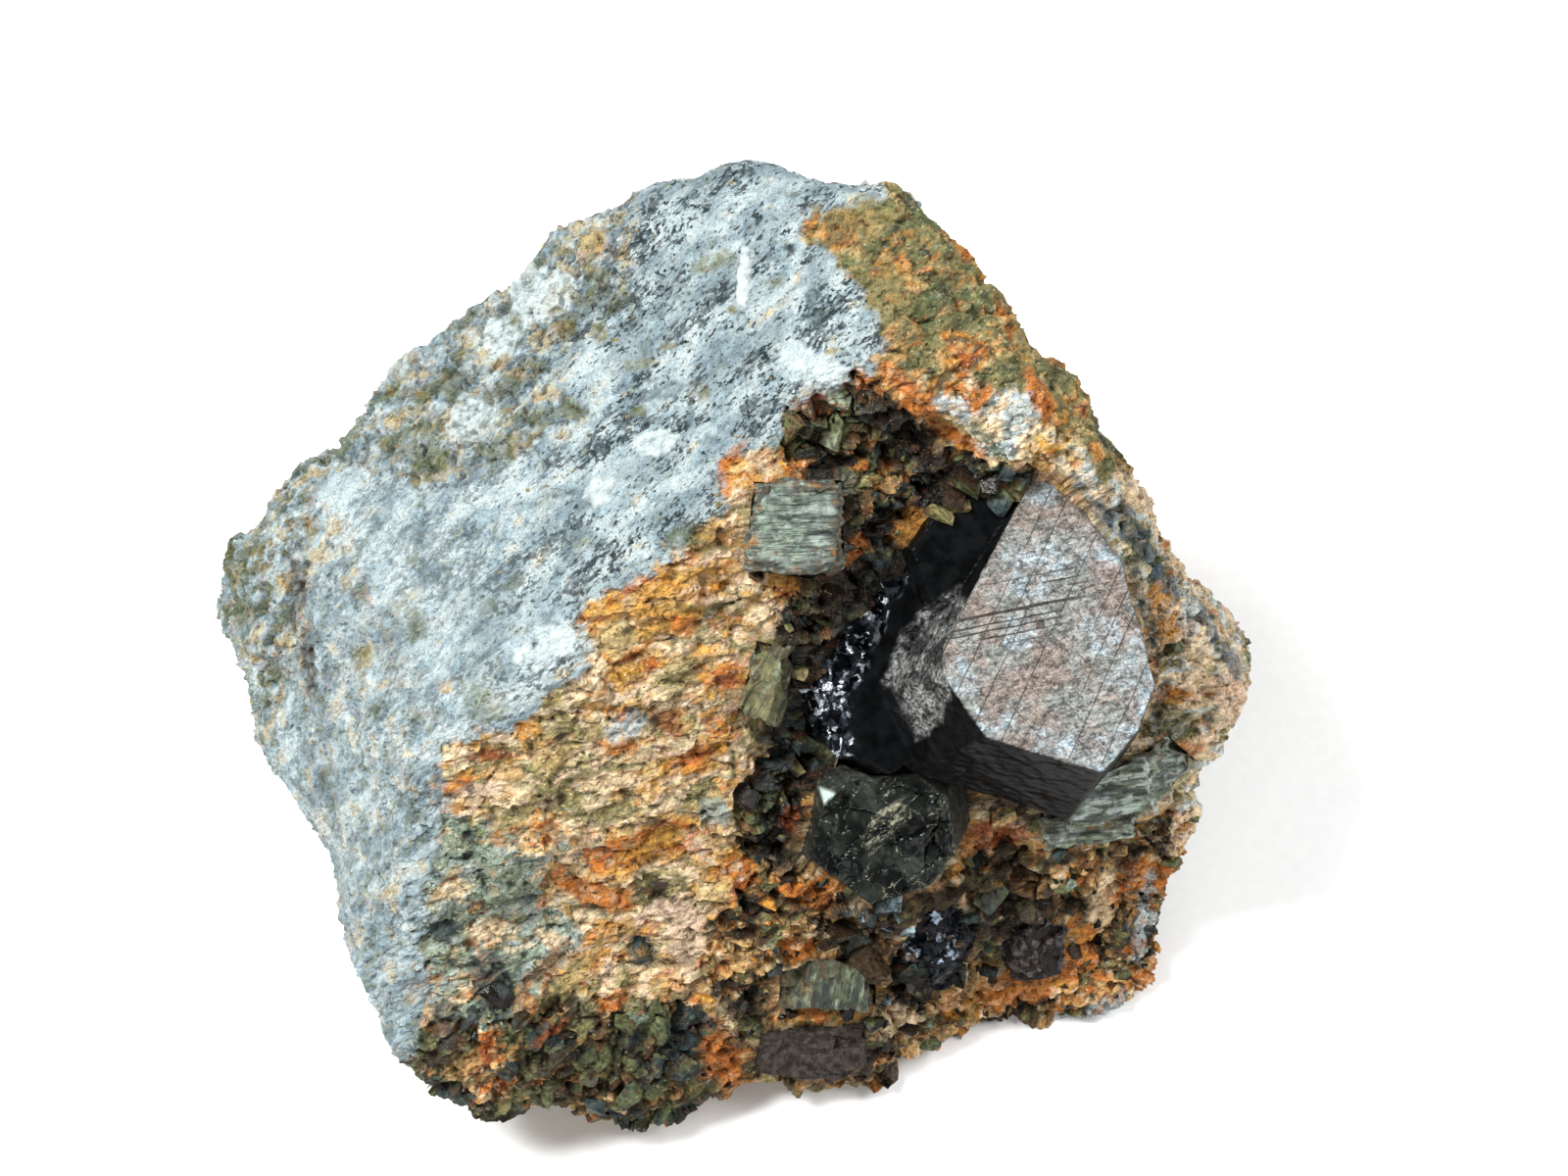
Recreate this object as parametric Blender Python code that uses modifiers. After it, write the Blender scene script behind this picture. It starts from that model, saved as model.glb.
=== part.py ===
"""Ilmenite crystals on a broken block of weathered feldspar and amphibole rock.

The block is what fracture planes leave of a cube, with steps and hollows let into its front.
Every crystal is what its own faces leave of a cube, and sits in a pocket cut to its shape.
Numbers are millimetres and degrees, and MM turns them into Blender's metres.
Azimuth 0 faces the front (-Y) and 90 the right (+X). Elevation is measured up from the horizon.
"""

import math

import bmesh
import bpy
from mathutils import Matrix, Vector, noise

MM = 0.001
COLLECTION = "ilmenite_pseudomorph_specimen"

# The faces that broke the block: azimuth, elevation, distance from HEART.
ROUGH_SIDE = 110.0
HEART = (0.0, 0.0, 20.0)
FRACTURES = {
    "top_left_fresh": (-65, 63, 14.7),
    "top_right_olive": (67, 64, 21.7),
    "front_brow": (16.5, 34, 9.4),
    "left_fresh": (-62, 26, 20.6),
    "back_right": (156, 2, 22.8),
    "right_upper_rear": (136, 6, 24.0),
    "right_upper": (115, 19, 26.2),
    "right_shoulder": (130, 11, 25.1),
    "right_end": (92, -17, 28.8),
    "right_foot": (45, -50, 30.9),
    "front_undercut": (-13, -75, 21.5),
    "left_undercut": (-37, -67, 22.6),
    "left_foot": (-69, -43, 24.2),
    "left_belly": (-68, -34, 26.7),
    "far_left_low": (-75, -27, 27.6),
    "far_left": (-120, 10, 31.1),
    "back_left": (-140, 9, 27.3),
    "back": (-173, 8, 27.1),
}
GROUND = 0.4              # the block is cut flat this far above its lowest plane

# Steps broken out of the front, each down to these faces: azimuth, elevation, distance from HEART.
STEPS = {
    "front_rusty": [(16.5, 34, 5.2), (-16, -3, -12.9)],
    "lower_right": [(16.5, 34, 3.0), (17, 6, 11.3), (45, 13, 12.8)],
}

# Soft lumps (+) and hollows (-): middle, reach and height of each.
LUMPS = {
    "vug_under_ridge": ((10.0, 7.4, 36.4), 4.6, -2.6),
    "vug_left_arm": ((5.2, 6.8, 37.6), 3.4, -1.8),
    "pit_left_of_rear_crystal": ((3.4, -4.2, 24.6), 3.8, -3.2),
    "gap_under_main_crystal": ((13.2, -3.4, 20.4), 4.6, -2.4),
    "gap_beside_lower_crystal": ((4.6, -9.2, 15.8), 2.8, -1.2),
    "nook_right_of_lower_crystal": ((14.6, -6.6, 14.6), 3.6, -1.4),
    "cleft_on_left_face": ((-25.4, -1.0, 25.4), 4.4, -2.0),
    "seat_under_main_crystal": ((16.6, 2.4, 26.2), 9.0, 4.2),
    "far_left_knob": ((-30.5, 9.0, 20.0), 6.0, 0.6),
    "right_knob": ((29.5, 1.2, 19.5), 7.0, 2.2),
    "right_toe": ((22.5, -10.4, 1.0), 7.0, 1.2),
    "peak": ((-0.7, 24.1, 40.9), 7.0, 0.6),
    "peak_right": ((8.0, 20.8, 43.1), 6.0, 0.8),
    "left_toe": ((-17.4, -18.8, 8.0), 7.0, 1.2),
    "foot_swelling": ((-8.0, -18.6, 8.0), 9.0, 0.8),
    "hollow_left_of_foot": ((-12.6, -13.6, 19.0), 6.0, -0.7),
}

SKIN_CELL = 1.15          # edge of the squares that the block's skin is made of
KEPT_SHARE = 0.42         # share of the skin's triangles that is kept
SKIN_RISE = 0.42         # what the skin swells by, to make up for corners that rounding takes off
SWELL_SIZE, SWELL_HEIGHT = 11.0, 0.7
CHIP_SIZE, CHIP_HEIGHT, CHIP_LEAN = 4.2, 0.95, 2.4
CHIP_VARIETY = 7.3        # how far apart in the noise two neighbouring chips take their lean
NEARLY_LEVEL = 0.85       # cosine within which a face counts as part of the fresh top
FRESH_CALM = 0.4          # the fresh white top breaks flatter than the weathered sides
POCKET_GAP = 0.3
CLOSE = 0.02

INK = (0.035, 0.035, 0.040)
STEEL = (0.42, 0.39, 0.38)
GREEN = (0.16, 0.20, 0.15)
PALE_GREEN = (0.33, 0.38, 0.33)
UMBER = (0.12, 0.09, 0.07)
ROCK = (0.50, 0.40, 0.28)

# Every piece is made of one or more blocks. For each block: where the middle of its top face lies,
# where that face looks, how far it goes down, and its sides as (angle around the top face,
# reach, lean), where angle 0 is to the right and a side with lean 0 is square to the top face.
# Where two pieces would meet, the later one in this list gives way to the earlier.
PIECES = {
    "ilmenite_cluster": {
        "colour": STEEL, "roughness": 0.35, "metallic": 0.7,
        "blocks": [
            {"at": (17.7, -1.0, 31.2), "faces_to": (42, 69), "depth": 9.0,
             "sides": [(105, 8.8, 8), (37, 6.2, 12), (15, 5.5, 14), (-22, 7.1, 12), (-41, 7.8, 8),
                       (-104, 7.3, 5), (-144, 6.9, 12), (178, 6.2, 15), (152, 4.9, 8)]},
            {"at": (8.6, -2.4, 26.4), "faces_to": (10, 50), "depth": 5.0,
             "sides": [(66, 6.6, 10), (140, 3.4, 24), (166, 2.6, 30), (196, 2.5, 34),
                       (-122, 4.2, 14), (-60, 4.4, 6), (-8, 6.4, 0)]},
            {"at": (13.0, 4.6, 32.8), "faces_to": (18, 62), "depth": 6.0,
             "sides": [(84, 3.9, 10), (118, 2.9, 16), (146, 1.9, 12), (-158, 3.3, 10), (-70, 3.4, 4),
                       (-30, 2.8, 0), (20, 2.9, 0)]},
        ],
    },
    "ilmenite_lower": {
        "colour": INK, "roughness": 0.25, "metallic": 0.5,
        "blocks": [
            {"at": (8.6, -7.9, 18.6), "faces_to": (4, 44), "depth": 6.5,
             "sides": [(96, 3.6, 12), (50, 4.0, 22), (12, 3.9, 20), (-34, 4.1, 10), (-74, 3.9, 14),
                       (-128, 3.9, 16), (168, 4.0, 18), (128, 3.9, 26)]},
        ],
    },
    "ilmenite_shadowed": {
        "colour": INK, "roughness": 0.25, "metallic": 0.6,
        "blocks": [
            {"at": (9.4, -10.6, 10.4), "faces_to": (-12, 46), "depth": 4.5,
             "sides": [(80, 2.0, 10), (20, 3.2, 16), (-30, 3.6, 10), (-100, 2.4, 12), (-150, 3.0, 14),
                       (150, 3.2, 20)]},
            {"at": (12.2, -10.6, 7.0), "faces_to": (26, 40), "depth": 4.5,
             "sides": [(58, 1.9, 8), (-28, 1.5, 14), (-110, 1.7, 10), (150, 1.7, 12)]},
        ],
    },
    "ilmenite_foot": {
        "colour": UMBER, "roughness": 0.5, "metallic": 0.2,
        "blocks": [
            {"at": (4.2, -16.4, 5.6), "faces_to": (6, 42), "depth": 3.6,
             "sides": [(92, 1.5, 6), (4, 3.3, 6), (-64, 2.2, 10), (-98, 1.6, 12), (176, 3.2, 8)]},
        ],
    },
    "ilmenite_corner": {
        "colour": INK, "roughness": 0.35, "metallic": 0.4,
        "blocks": [
            {"at": (18.4, -9.6, 6.2), "faces_to": (30, 44), "depth": 4.0,
             "sides": [(70, 1.7, 10), (-10, 1.6, 14), (-80, 1.8, 10), (-150, 1.6, 12), (140, 1.5, 12)]},
        ],
    },
    "amphibole_slab": {
        "colour": PALE_GREEN, "roughness": 0.55, "metallic": 0.0,
        "blocks": [
            {"at": (3.2, 2.8, 36.4), "faces_to": (4, 58), "depth": 4.0,
             "sides": [(88, 2.4, 6), (-2, 2.4, 10), (-64, 2.8, 12), (-96, 2.6, 8), (176, 2.5, 6)]},
        ],
    },
    "amphibole_rib": {
        "colour": GREEN, "roughness": 0.6, "metallic": 0.0,
        "blocks": [
            {"at": (1.3, -2.5, 27.7), "faces_to": (-6, 50), "depth": 3.5,
             "sides": [(72, 2.2, 8), (-14, 0.9, 14), (-110, 2.2, 12), (166, 0.9, 10)]},
        ],
    },
    "amphibole_blades": {
        "colour": PALE_GREEN, "roughness": 0.5, "metallic": 0.0,
        "blocks": [
            {"at": (21.9, -5.0, 17.6), "faces_to": (8, 48), "depth": 4.0,
             "sides": [(104, 1.2, 10), (14, 2.5, 14), (-76, 1.3, 12), (-166, 2.4, 10)]},
            {"at": (25.0, -3.4, 17.4), "faces_to": (40, 50), "depth": 4.0,
             "sides": [(130, 1.1, 8), (52, 2.4, 12), (-50, 1.2, 10), (-128, 2.3, 8)]},
            {"at": (21.0, -5.8, 15.2), "faces_to": (2, 40), "depth": 4.0,
             "sides": [(98, 1.0, 10), (12, 2.4, 10), (-80, 1.1, 10), (-170, 2.6, 12)]},
        ],
    },
    "amphibole_blades_at_foot": {
        "colour": GREEN, "roughness": 0.55, "metallic": 0.0,
        "blocks": [
            {"at": (4.9, -13.6, 9.6), "faces_to": (-8, 44), "depth": 3.5,
             "sides": [(86, 1.5, 10), (-4, 2.6, 14), (-92, 1.5, 12), (174, 2.6, 10)]},
        ],
    },
}


def direction(azimuth, elevation):
    a, e = math.radians(azimuth), math.radians(elevation)
    return Vector((math.sin(a) * math.cos(e), -math.cos(a) * math.cos(e), math.sin(e)))


def clear_scene():
    for obj in list(bpy.data.objects):
        bpy.data.objects.remove(obj)


def collection(name):
    made = bpy.data.collections.new(name)
    bpy.context.scene.collection.children.link(made)
    return made


def material(name, colour, roughness, metallic):
    made = bpy.data.materials.new(name)
    made.use_nodes = True
    shader = made.node_tree.nodes["Principled BSDF"]
    shader.inputs["Base Color"].default_value = (*colour, 1.0)
    shader.inputs["Roughness"].default_value = roughness
    shader.inputs["Metallic"].default_value = metallic
    made.diffuse_color = (*colour, 1.0)
    return made


def cleaved(name, planes, home):
    """An object: a cube, cut back to each (point, outward normal) in planes."""
    bm = bmesh.new()
    bmesh.ops.create_cube(bm, size=ROUGH_SIDE * MM)
    for point, normal in planes:
        every = bm.verts[:] + bm.edges[:] + bm.faces[:]
        cut = bmesh.ops.bisect_plane(bm, geom=every, plane_co=point, plane_no=normal,
                                     clear_outer=True, dist=1e-7)
        rim = [e for e in cut["geom_cut"] if isinstance(e, bmesh.types.BMEdge)]
        if rim:
            bmesh.ops.contextual_create(bm, geom=rim)
    bmesh.ops.recalc_face_normals(bm, faces=bm.faces[:])
    mesh = bpy.data.meshes.new(name)
    bm.to_mesh(mesh)
    bm.free()
    obj = bpy.data.objects.new(name, mesh)
    home.objects.link(obj)
    return obj


def bake(obj):
    """Replace an object's mesh with what its modifiers make of it."""
    seen = obj.evaluated_get(bpy.context.evaluated_depsgraph_get())
    mesh = bpy.data.meshes.new_from_object(seen)
    obj.modifiers.clear()
    obj.data = mesh


def boolean(obj, operation, other):
    step = obj.modifiers.new(other.name, "BOOLEAN")
    step.operation = operation
    step.solver = "EXACT"
    step.object = other
    bake(obj)


def facing(azimuth, elevation):
    """A turn that sends local Z to this direction and keeps local X as near +X as it can."""
    z = direction(azimuth, elevation)
    x = (Vector((1, 0, 0)) - z * z.x).normalized()
    return Matrix((x, z.cross(x), z)).transposed().to_4x4()


def piece_block(name, spec, home, grow=0.0):
    """One block of a piece, with every face moved out by grow."""
    turn = Matrix.Translation(Vector(spec["at"]) * MM) @ facing(*spec["faces_to"])
    faces = [(0.0, Vector((0, 0, 1))), (spec["depth"], Vector((0, 0, -1)))]
    planes = [(normal * (reach + grow) * MM, normal) for reach, normal in faces]
    for angle, reach, lean in spec["sides"]:
        a, f = math.radians(angle), math.radians(lean)
        outward = Vector((math.cos(a), math.sin(a), 0))
        normal = outward * math.cos(f) + Vector((0, 0, math.sin(f)))
        planes.append((outward * reach * MM + normal * grow * MM, normal))
    obj = cleaved(name, planes, home)
    obj.data.transform(turn)
    return obj


def piece(name, spec, home, grow=0.0):
    """A piece: its blocks, grown into one solid."""
    obj, *others = [piece_block(f"{name}_{index}", part, home, grow)
                    for index, part in enumerate(spec["blocks"])]
    for other in others:
        boolean(obj, "UNION", other)
        bpy.data.objects.remove(other)
    obj.name = name
    return obj


def rock_planes(faces):
    heart = Vector(HEART) * MM
    return [(heart + direction(a, e) * d * MM, direction(a, e)) for a, e, d in faces]


def push(rock, rise):
    """Move every point of the skin out along its normal by what rise gives there, in millimetres."""
    for vertex in rock.data.vertices:
        vertex.co += vertex.normal * rise(vertex) * MM


def swells(vertex):
    """Broad swells of the whole skin, with the lumps and hollows."""
    height = SKIN_RISE + SWELL_HEIGHT * noise.noise(vertex.co / (SWELL_SIZE * MM))
    for middle, reach, rise in LUMPS.values():
        near = (vertex.co - Vector(middle) * MM).length / (reach * MM)
        if near < 1.0:
            height += rise * (1.0 - near * near) ** 2
    return height


def chips(vertex):
    """Flat grains that each lean their own way and stand out by their own height."""
    cell = vertex.co / (CHIP_SIZE * MM)
    middle = noise.voronoi(cell)[1][0]
    own = [noise.noise(middle * CHIP_VARIETY + Vector((0, 0, row))) for row in range(4)]
    fresh = vertex.normal.dot(direction(*FRACTURES["top_left_fresh"][:2])) > NEARLY_LEVEL
    height = (cell - middle).dot(Vector(own[:3])) * CHIP_LEAN + own[3]
    return CHIP_HEIGHT * height * (FRESH_CALM if fresh else 1.0)


def even_skin(rock):
    skin = rock.modifiers.new("skin", "REMESH")
    skin.mode = "VOXEL"
    skin.voxel_size = SKIN_CELL * MM
    bake(rock)


def roughened(rock):
    """Swell and chip the block's skin, and let its flat parts keep fewer triangles."""
    even_skin(rock)
    for rise in (swells, chips):
        push(rock, rise)
        even_skin(rock)
    fewer = rock.modifiers.new("fewer", "DECIMATE")
    fewer.ratio = KEPT_SHARE
    bake(rock)


def tidied(obj):
    """Merge what a Boolean left too close together, and drop crumbs that hang on to nothing."""
    bm = bmesh.new()
    bm.from_mesh(obj.data)
    bmesh.ops.remove_doubles(bm, verts=bm.verts[:], dist=CLOSE * MM)
    bmesh.ops.dissolve_degenerate(bm, edges=bm.edges[:], dist=CLOSE * MM)
    bmesh.ops.triangulate(bm, faces=bm.faces[:])
    shells = []
    waiting = set(bm.verts)
    while waiting:
        shell, reached = set(), [next(iter(waiting))]
        while reached:
            vertex = reached.pop()
            if vertex not in shell:
                shell.add(vertex)
                reached.extend(edge.other_vert(vertex) for edge in vertex.link_edges)
        shells.append(shell)
        waiting -= shell
    shells.sort(key=len)
    for shell in shells[:-1]:
        bmesh.ops.delete(bm, geom=list(shell), context="VERTS")
    bm.to_mesh(obj.data)
    bm.free()


def stand_at_origin(objects):
    """Put the middle of the bounding box's floor at the origin."""
    corners = [v.co for obj in objects for v in obj.data.vertices]
    low = [min(c[axis] for c in corners) for axis in range(3)]
    high = [max(c[axis] for c in corners) for axis in range(3)]
    shift = Vector((-(low[0] + high[0]) / 2, -(low[1] + high[1]) / 2, -low[2]))
    for obj in objects:
        obj.data.transform(Matrix.Translation(shift))


def main():
    clear_scene()
    parts = collection(COLLECTION)
    cutters = collection("cutters")
    floor = (Vector((0, 0, 0)), Vector((0, 0, -1)))
    rock = cleaved("rock_matrix", rock_planes(FRACTURES.values()) + [floor], parts)
    for name, faces in STEPS.items():
        away = [(point, -normal) for point, normal in rock_planes(faces)]
        boolean(rock, "DIFFERENCE", cleaved(name, away, cutters))
    roughened(rock)
    ground = cleaved("ground", [(Vector((0, 0, GROUND * MM)), Vector((0, 0, 1)))], cutters)
    boolean(rock, "DIFFERENCE", ground)
    pockets = []
    for name, spec in PIECES.items():
        obj = piece(name, spec, parts)
        for pocket in pockets:
            boolean(obj, "DIFFERENCE", pocket)
        tidied(obj)
        pockets.append(piece(name + "_pocket", spec, cutters, POCKET_GAP))
        boolean(rock, "DIFFERENCE", pockets[-1])
        obj.data.materials.clear()
        obj.data.materials.append(material(name, spec["colour"], spec["roughness"], spec["metallic"]))
    rock.data.materials.clear()
    rock.data.materials.append(material("rock", ROCK, 0.9, 0.0))
    tidied(rock)
    stand_at_origin(list(parts.objects))
    for obj in cutters.objects:
        obj.hide_render = True
        obj.display_type = "WIRE"


main()
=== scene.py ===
"""The looks of an ilmenite crystal specimen: a broken block of pale feldspar rock with a rusty front,
where steel-grey and black ilmenite crystals and green amphibole blades sit.

Lengths are millimetres, and MM turns them into Blender's metres. Places that were read off the
reference picture are its pixels, with 1600 across and 1200 down, and land on the block along
the camera's line of sight.
"""

import itertools
import math
import random

import bmesh
import bpy
import numpy as np
from mathutils import Matrix, Vector, noise
from mathutils.bvhtree import BVHTree


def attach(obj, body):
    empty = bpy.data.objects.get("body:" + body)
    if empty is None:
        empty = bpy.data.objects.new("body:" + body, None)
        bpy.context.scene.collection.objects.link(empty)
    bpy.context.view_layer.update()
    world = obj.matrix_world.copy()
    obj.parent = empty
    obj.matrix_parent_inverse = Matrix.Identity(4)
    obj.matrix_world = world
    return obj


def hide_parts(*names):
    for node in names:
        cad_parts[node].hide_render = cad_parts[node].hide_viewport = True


MM = 0.001

# The camera looks down at the front from 60 degrees above the horizon.
CAMERA_AT = (3.256, -121.25, 236.603)
CAMERA_PITCH = 30.0
LENS, SENSOR = 94.5, 36.0
PICTURE = (1600, 1200)

# Colours by what they are in the rock.
COLOURS = {
    "white": "#b8c4c4",
    "cool_white": "#94aab1",
    "blue_grey": "#70848d",
    "slate": "#54646c",
    "ink_green": "#323f3f",
    "beige": "#c2b48f",
    "straw": "#bba36e",
    "sage": "#7d8670",
    "moss": "#565d3d",
    "cream": "#dbc39e",
    "pink_cream": "#d0b59c",
    "tan": "#b8935f",
    "ochre": "#bf8f40",
    "amber": "#b57d34",
    "orange": "#b86c2b",
    "rust": "#8a4722",
    "red_brown": "#6a301c",
    "olive": "#767149",
    "khaki": "#968a5e",
    "brown": "#57412a",
    "umber": "#30261b",
    "black": "#13120f",
    "grey_green": "#7f8e7c",
    "mica": "#97a39c",
}

# Each zone's grains, as colour and share. Colours next to each other here lie next to each other
# in the rock.
ZONES = {
    "fresh": {"slate": 4, "sage": 5, "blue_grey": 16, "cool_white": 44, "white": 28, "beige": 3},
    "edge": {"moss": 15, "olive": 8, "sage": 11, "blue_grey": 8, "cool_white": 18, "white": 22,
             "beige": 12, "straw": 6},
    "left": {"moss": 4, "sage": 10, "blue_grey": 16, "cool_white": 36, "white": 22, "beige": 12},
    "rusty": {"umber": 3, "olive": 8, "khaki": 17, "beige": 9, "cream": 15, "pink_cream": 8,
              "tan": 20, "ochre": 8, "amber": 4, "orange": 6, "rust": 2},
    "mossy": {"ink_green": 3, "moss": 3, "sage": 12, "grey_green": 26, "mica": 24, "khaki": 6,
              "cream": 18, "tan": 6, "orange": 2},
    "foot": {"ink_green": 16, "umber": 26, "moss": 20, "olive": 13, "brown": 12, "tan": 5,
             "cream": 2, "orange": 4, "rust": 2},
    "olive": {"ink_green": 3, "moss": 22, "olive": 36, "khaki": 12, "tan": 9, "amber": 7,
              "brown": 6, "orange": 2, "rust": 3},
    "band": {"grey_green": 8, "white": 28, "cream": 32, "straw": 16, "ochre": 10, "orange": 6},
    # The hollow lies in shade: part of its black and umber is painted shade.
    "hollow": {"black": 33, "umber": 28, "ink_green": 14, "moss": 10, "olive": 5, "brown": 6,
               "rust": 2, "amber": 1, "tan": 1},
    "right": {"ink_green": 5, "moss": 6, "khaki": 6, "beige": 18, "white": 20, "cream": 38,
              "pink_cream": 5, "amber": 2},
    "lower_right": {"black": 11, "umber": 13, "moss": 6, "olive": 10, "brown": 10, "tan": 18,
                    "cream": 11, "amber": 10, "orange": 13},
    "back": {"moss": 4, "sage": 12, "grey_green": 14, "mica": 22, "cool_white": 14, "white": 8,
             "beige": 18, "khaki": 6, "tan": 2},
    "back_rusty": {"moss": 6, "olive": 14, "khaki": 22, "beige": 14, "cream": 8, "tan": 20,
                   "ochre": 6, "amber": 6, "rust": 4},
}

# Where each zone lies in the picture. A later one lies over an earlier one, and what none of them
# covers is "rusty".
OUTLINES = {
    "fresh": [(905, 60), (905, 193), (870, 212), (822, 226), (845, 262), (888, 318), (904, 370),
              (862, 386), (806, 412), (796, 448), (764, 455), (744, 480), (736, 522), (700, 548),
              (688, 572), (640, 592), (606, 622), (598, 655), (598, 690), (560, 704), (524, 738),
              (470, 750), (452, 762), (400, 640), (330, 500), (300, 300), (700, 60)],
    "edge": [(330, 500), (372, 468), (430, 498), (520, 470), (600, 420), (560, 380), (640, 300),
             (640, 230), (640, 120), (200, 120), (150, 560), (180, 720), (260, 760), (300, 680),
             (312, 600)],
    "left": [(330, 500), (400, 640), (452, 762), (456, 800), (474, 836), (452, 880), (432, 905),
             (438, 960), (432, 1010), (436, 1062), (396, 1160), (240, 1160), (240, 800),
             (300, 690), (312, 600)],
    "olive": [(905, 193), (870, 212), (822, 226), (845, 262), (888, 318), (904, 370), (930, 392),
              (960, 432), (1010, 462), (1060, 470), (1140, 492), (1260, 500), (1240, 120),
              (905, 60)],
    "band": [(936, 392), (980, 386), (1040, 404), (1086, 432), (1120, 470), (1128, 494),
             (1060, 476), (1010, 466), (974, 440)],
    "right": [(1100, 500), (1150, 490), (1340, 560), (1340, 820), (1190, 870), (1150, 800),
              (1172, 740), (1184, 690), (1172, 640), (1140, 560)],
    "mossy": [(452, 832), (530, 842), (604, 862), (600, 900), (566, 930), (600, 960), (560, 1000),
              (520, 1060), (438, 1050), (434, 905)],
    "foot": [(396, 1160), (436, 1050), (520, 1050), (560, 1010), (620, 1030), (700, 1020),
             (760, 1060), (800, 1200), (396, 1200)],
    "hollow": [(806, 412), (862, 390), (905, 398), (956, 440), (1000, 470), (1060, 480),
               (1040, 540), (970, 560), (930, 600), (900, 770), (1040, 770), (1120, 790),
               (1000, 800), (900, 790), (830, 800), (800, 870), (770, 900), (748, 830),
               (790, 730), (780, 690), (800, 600), (860, 570), (862, 480), (796, 470)],
    "lower_right": [(700, 960), (770, 900), (830, 880), (960, 900), (1010, 850), (1200, 840),
                    (1240, 1000), (1130, 1120), (820, 1140), (760, 1060)],
}

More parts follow.
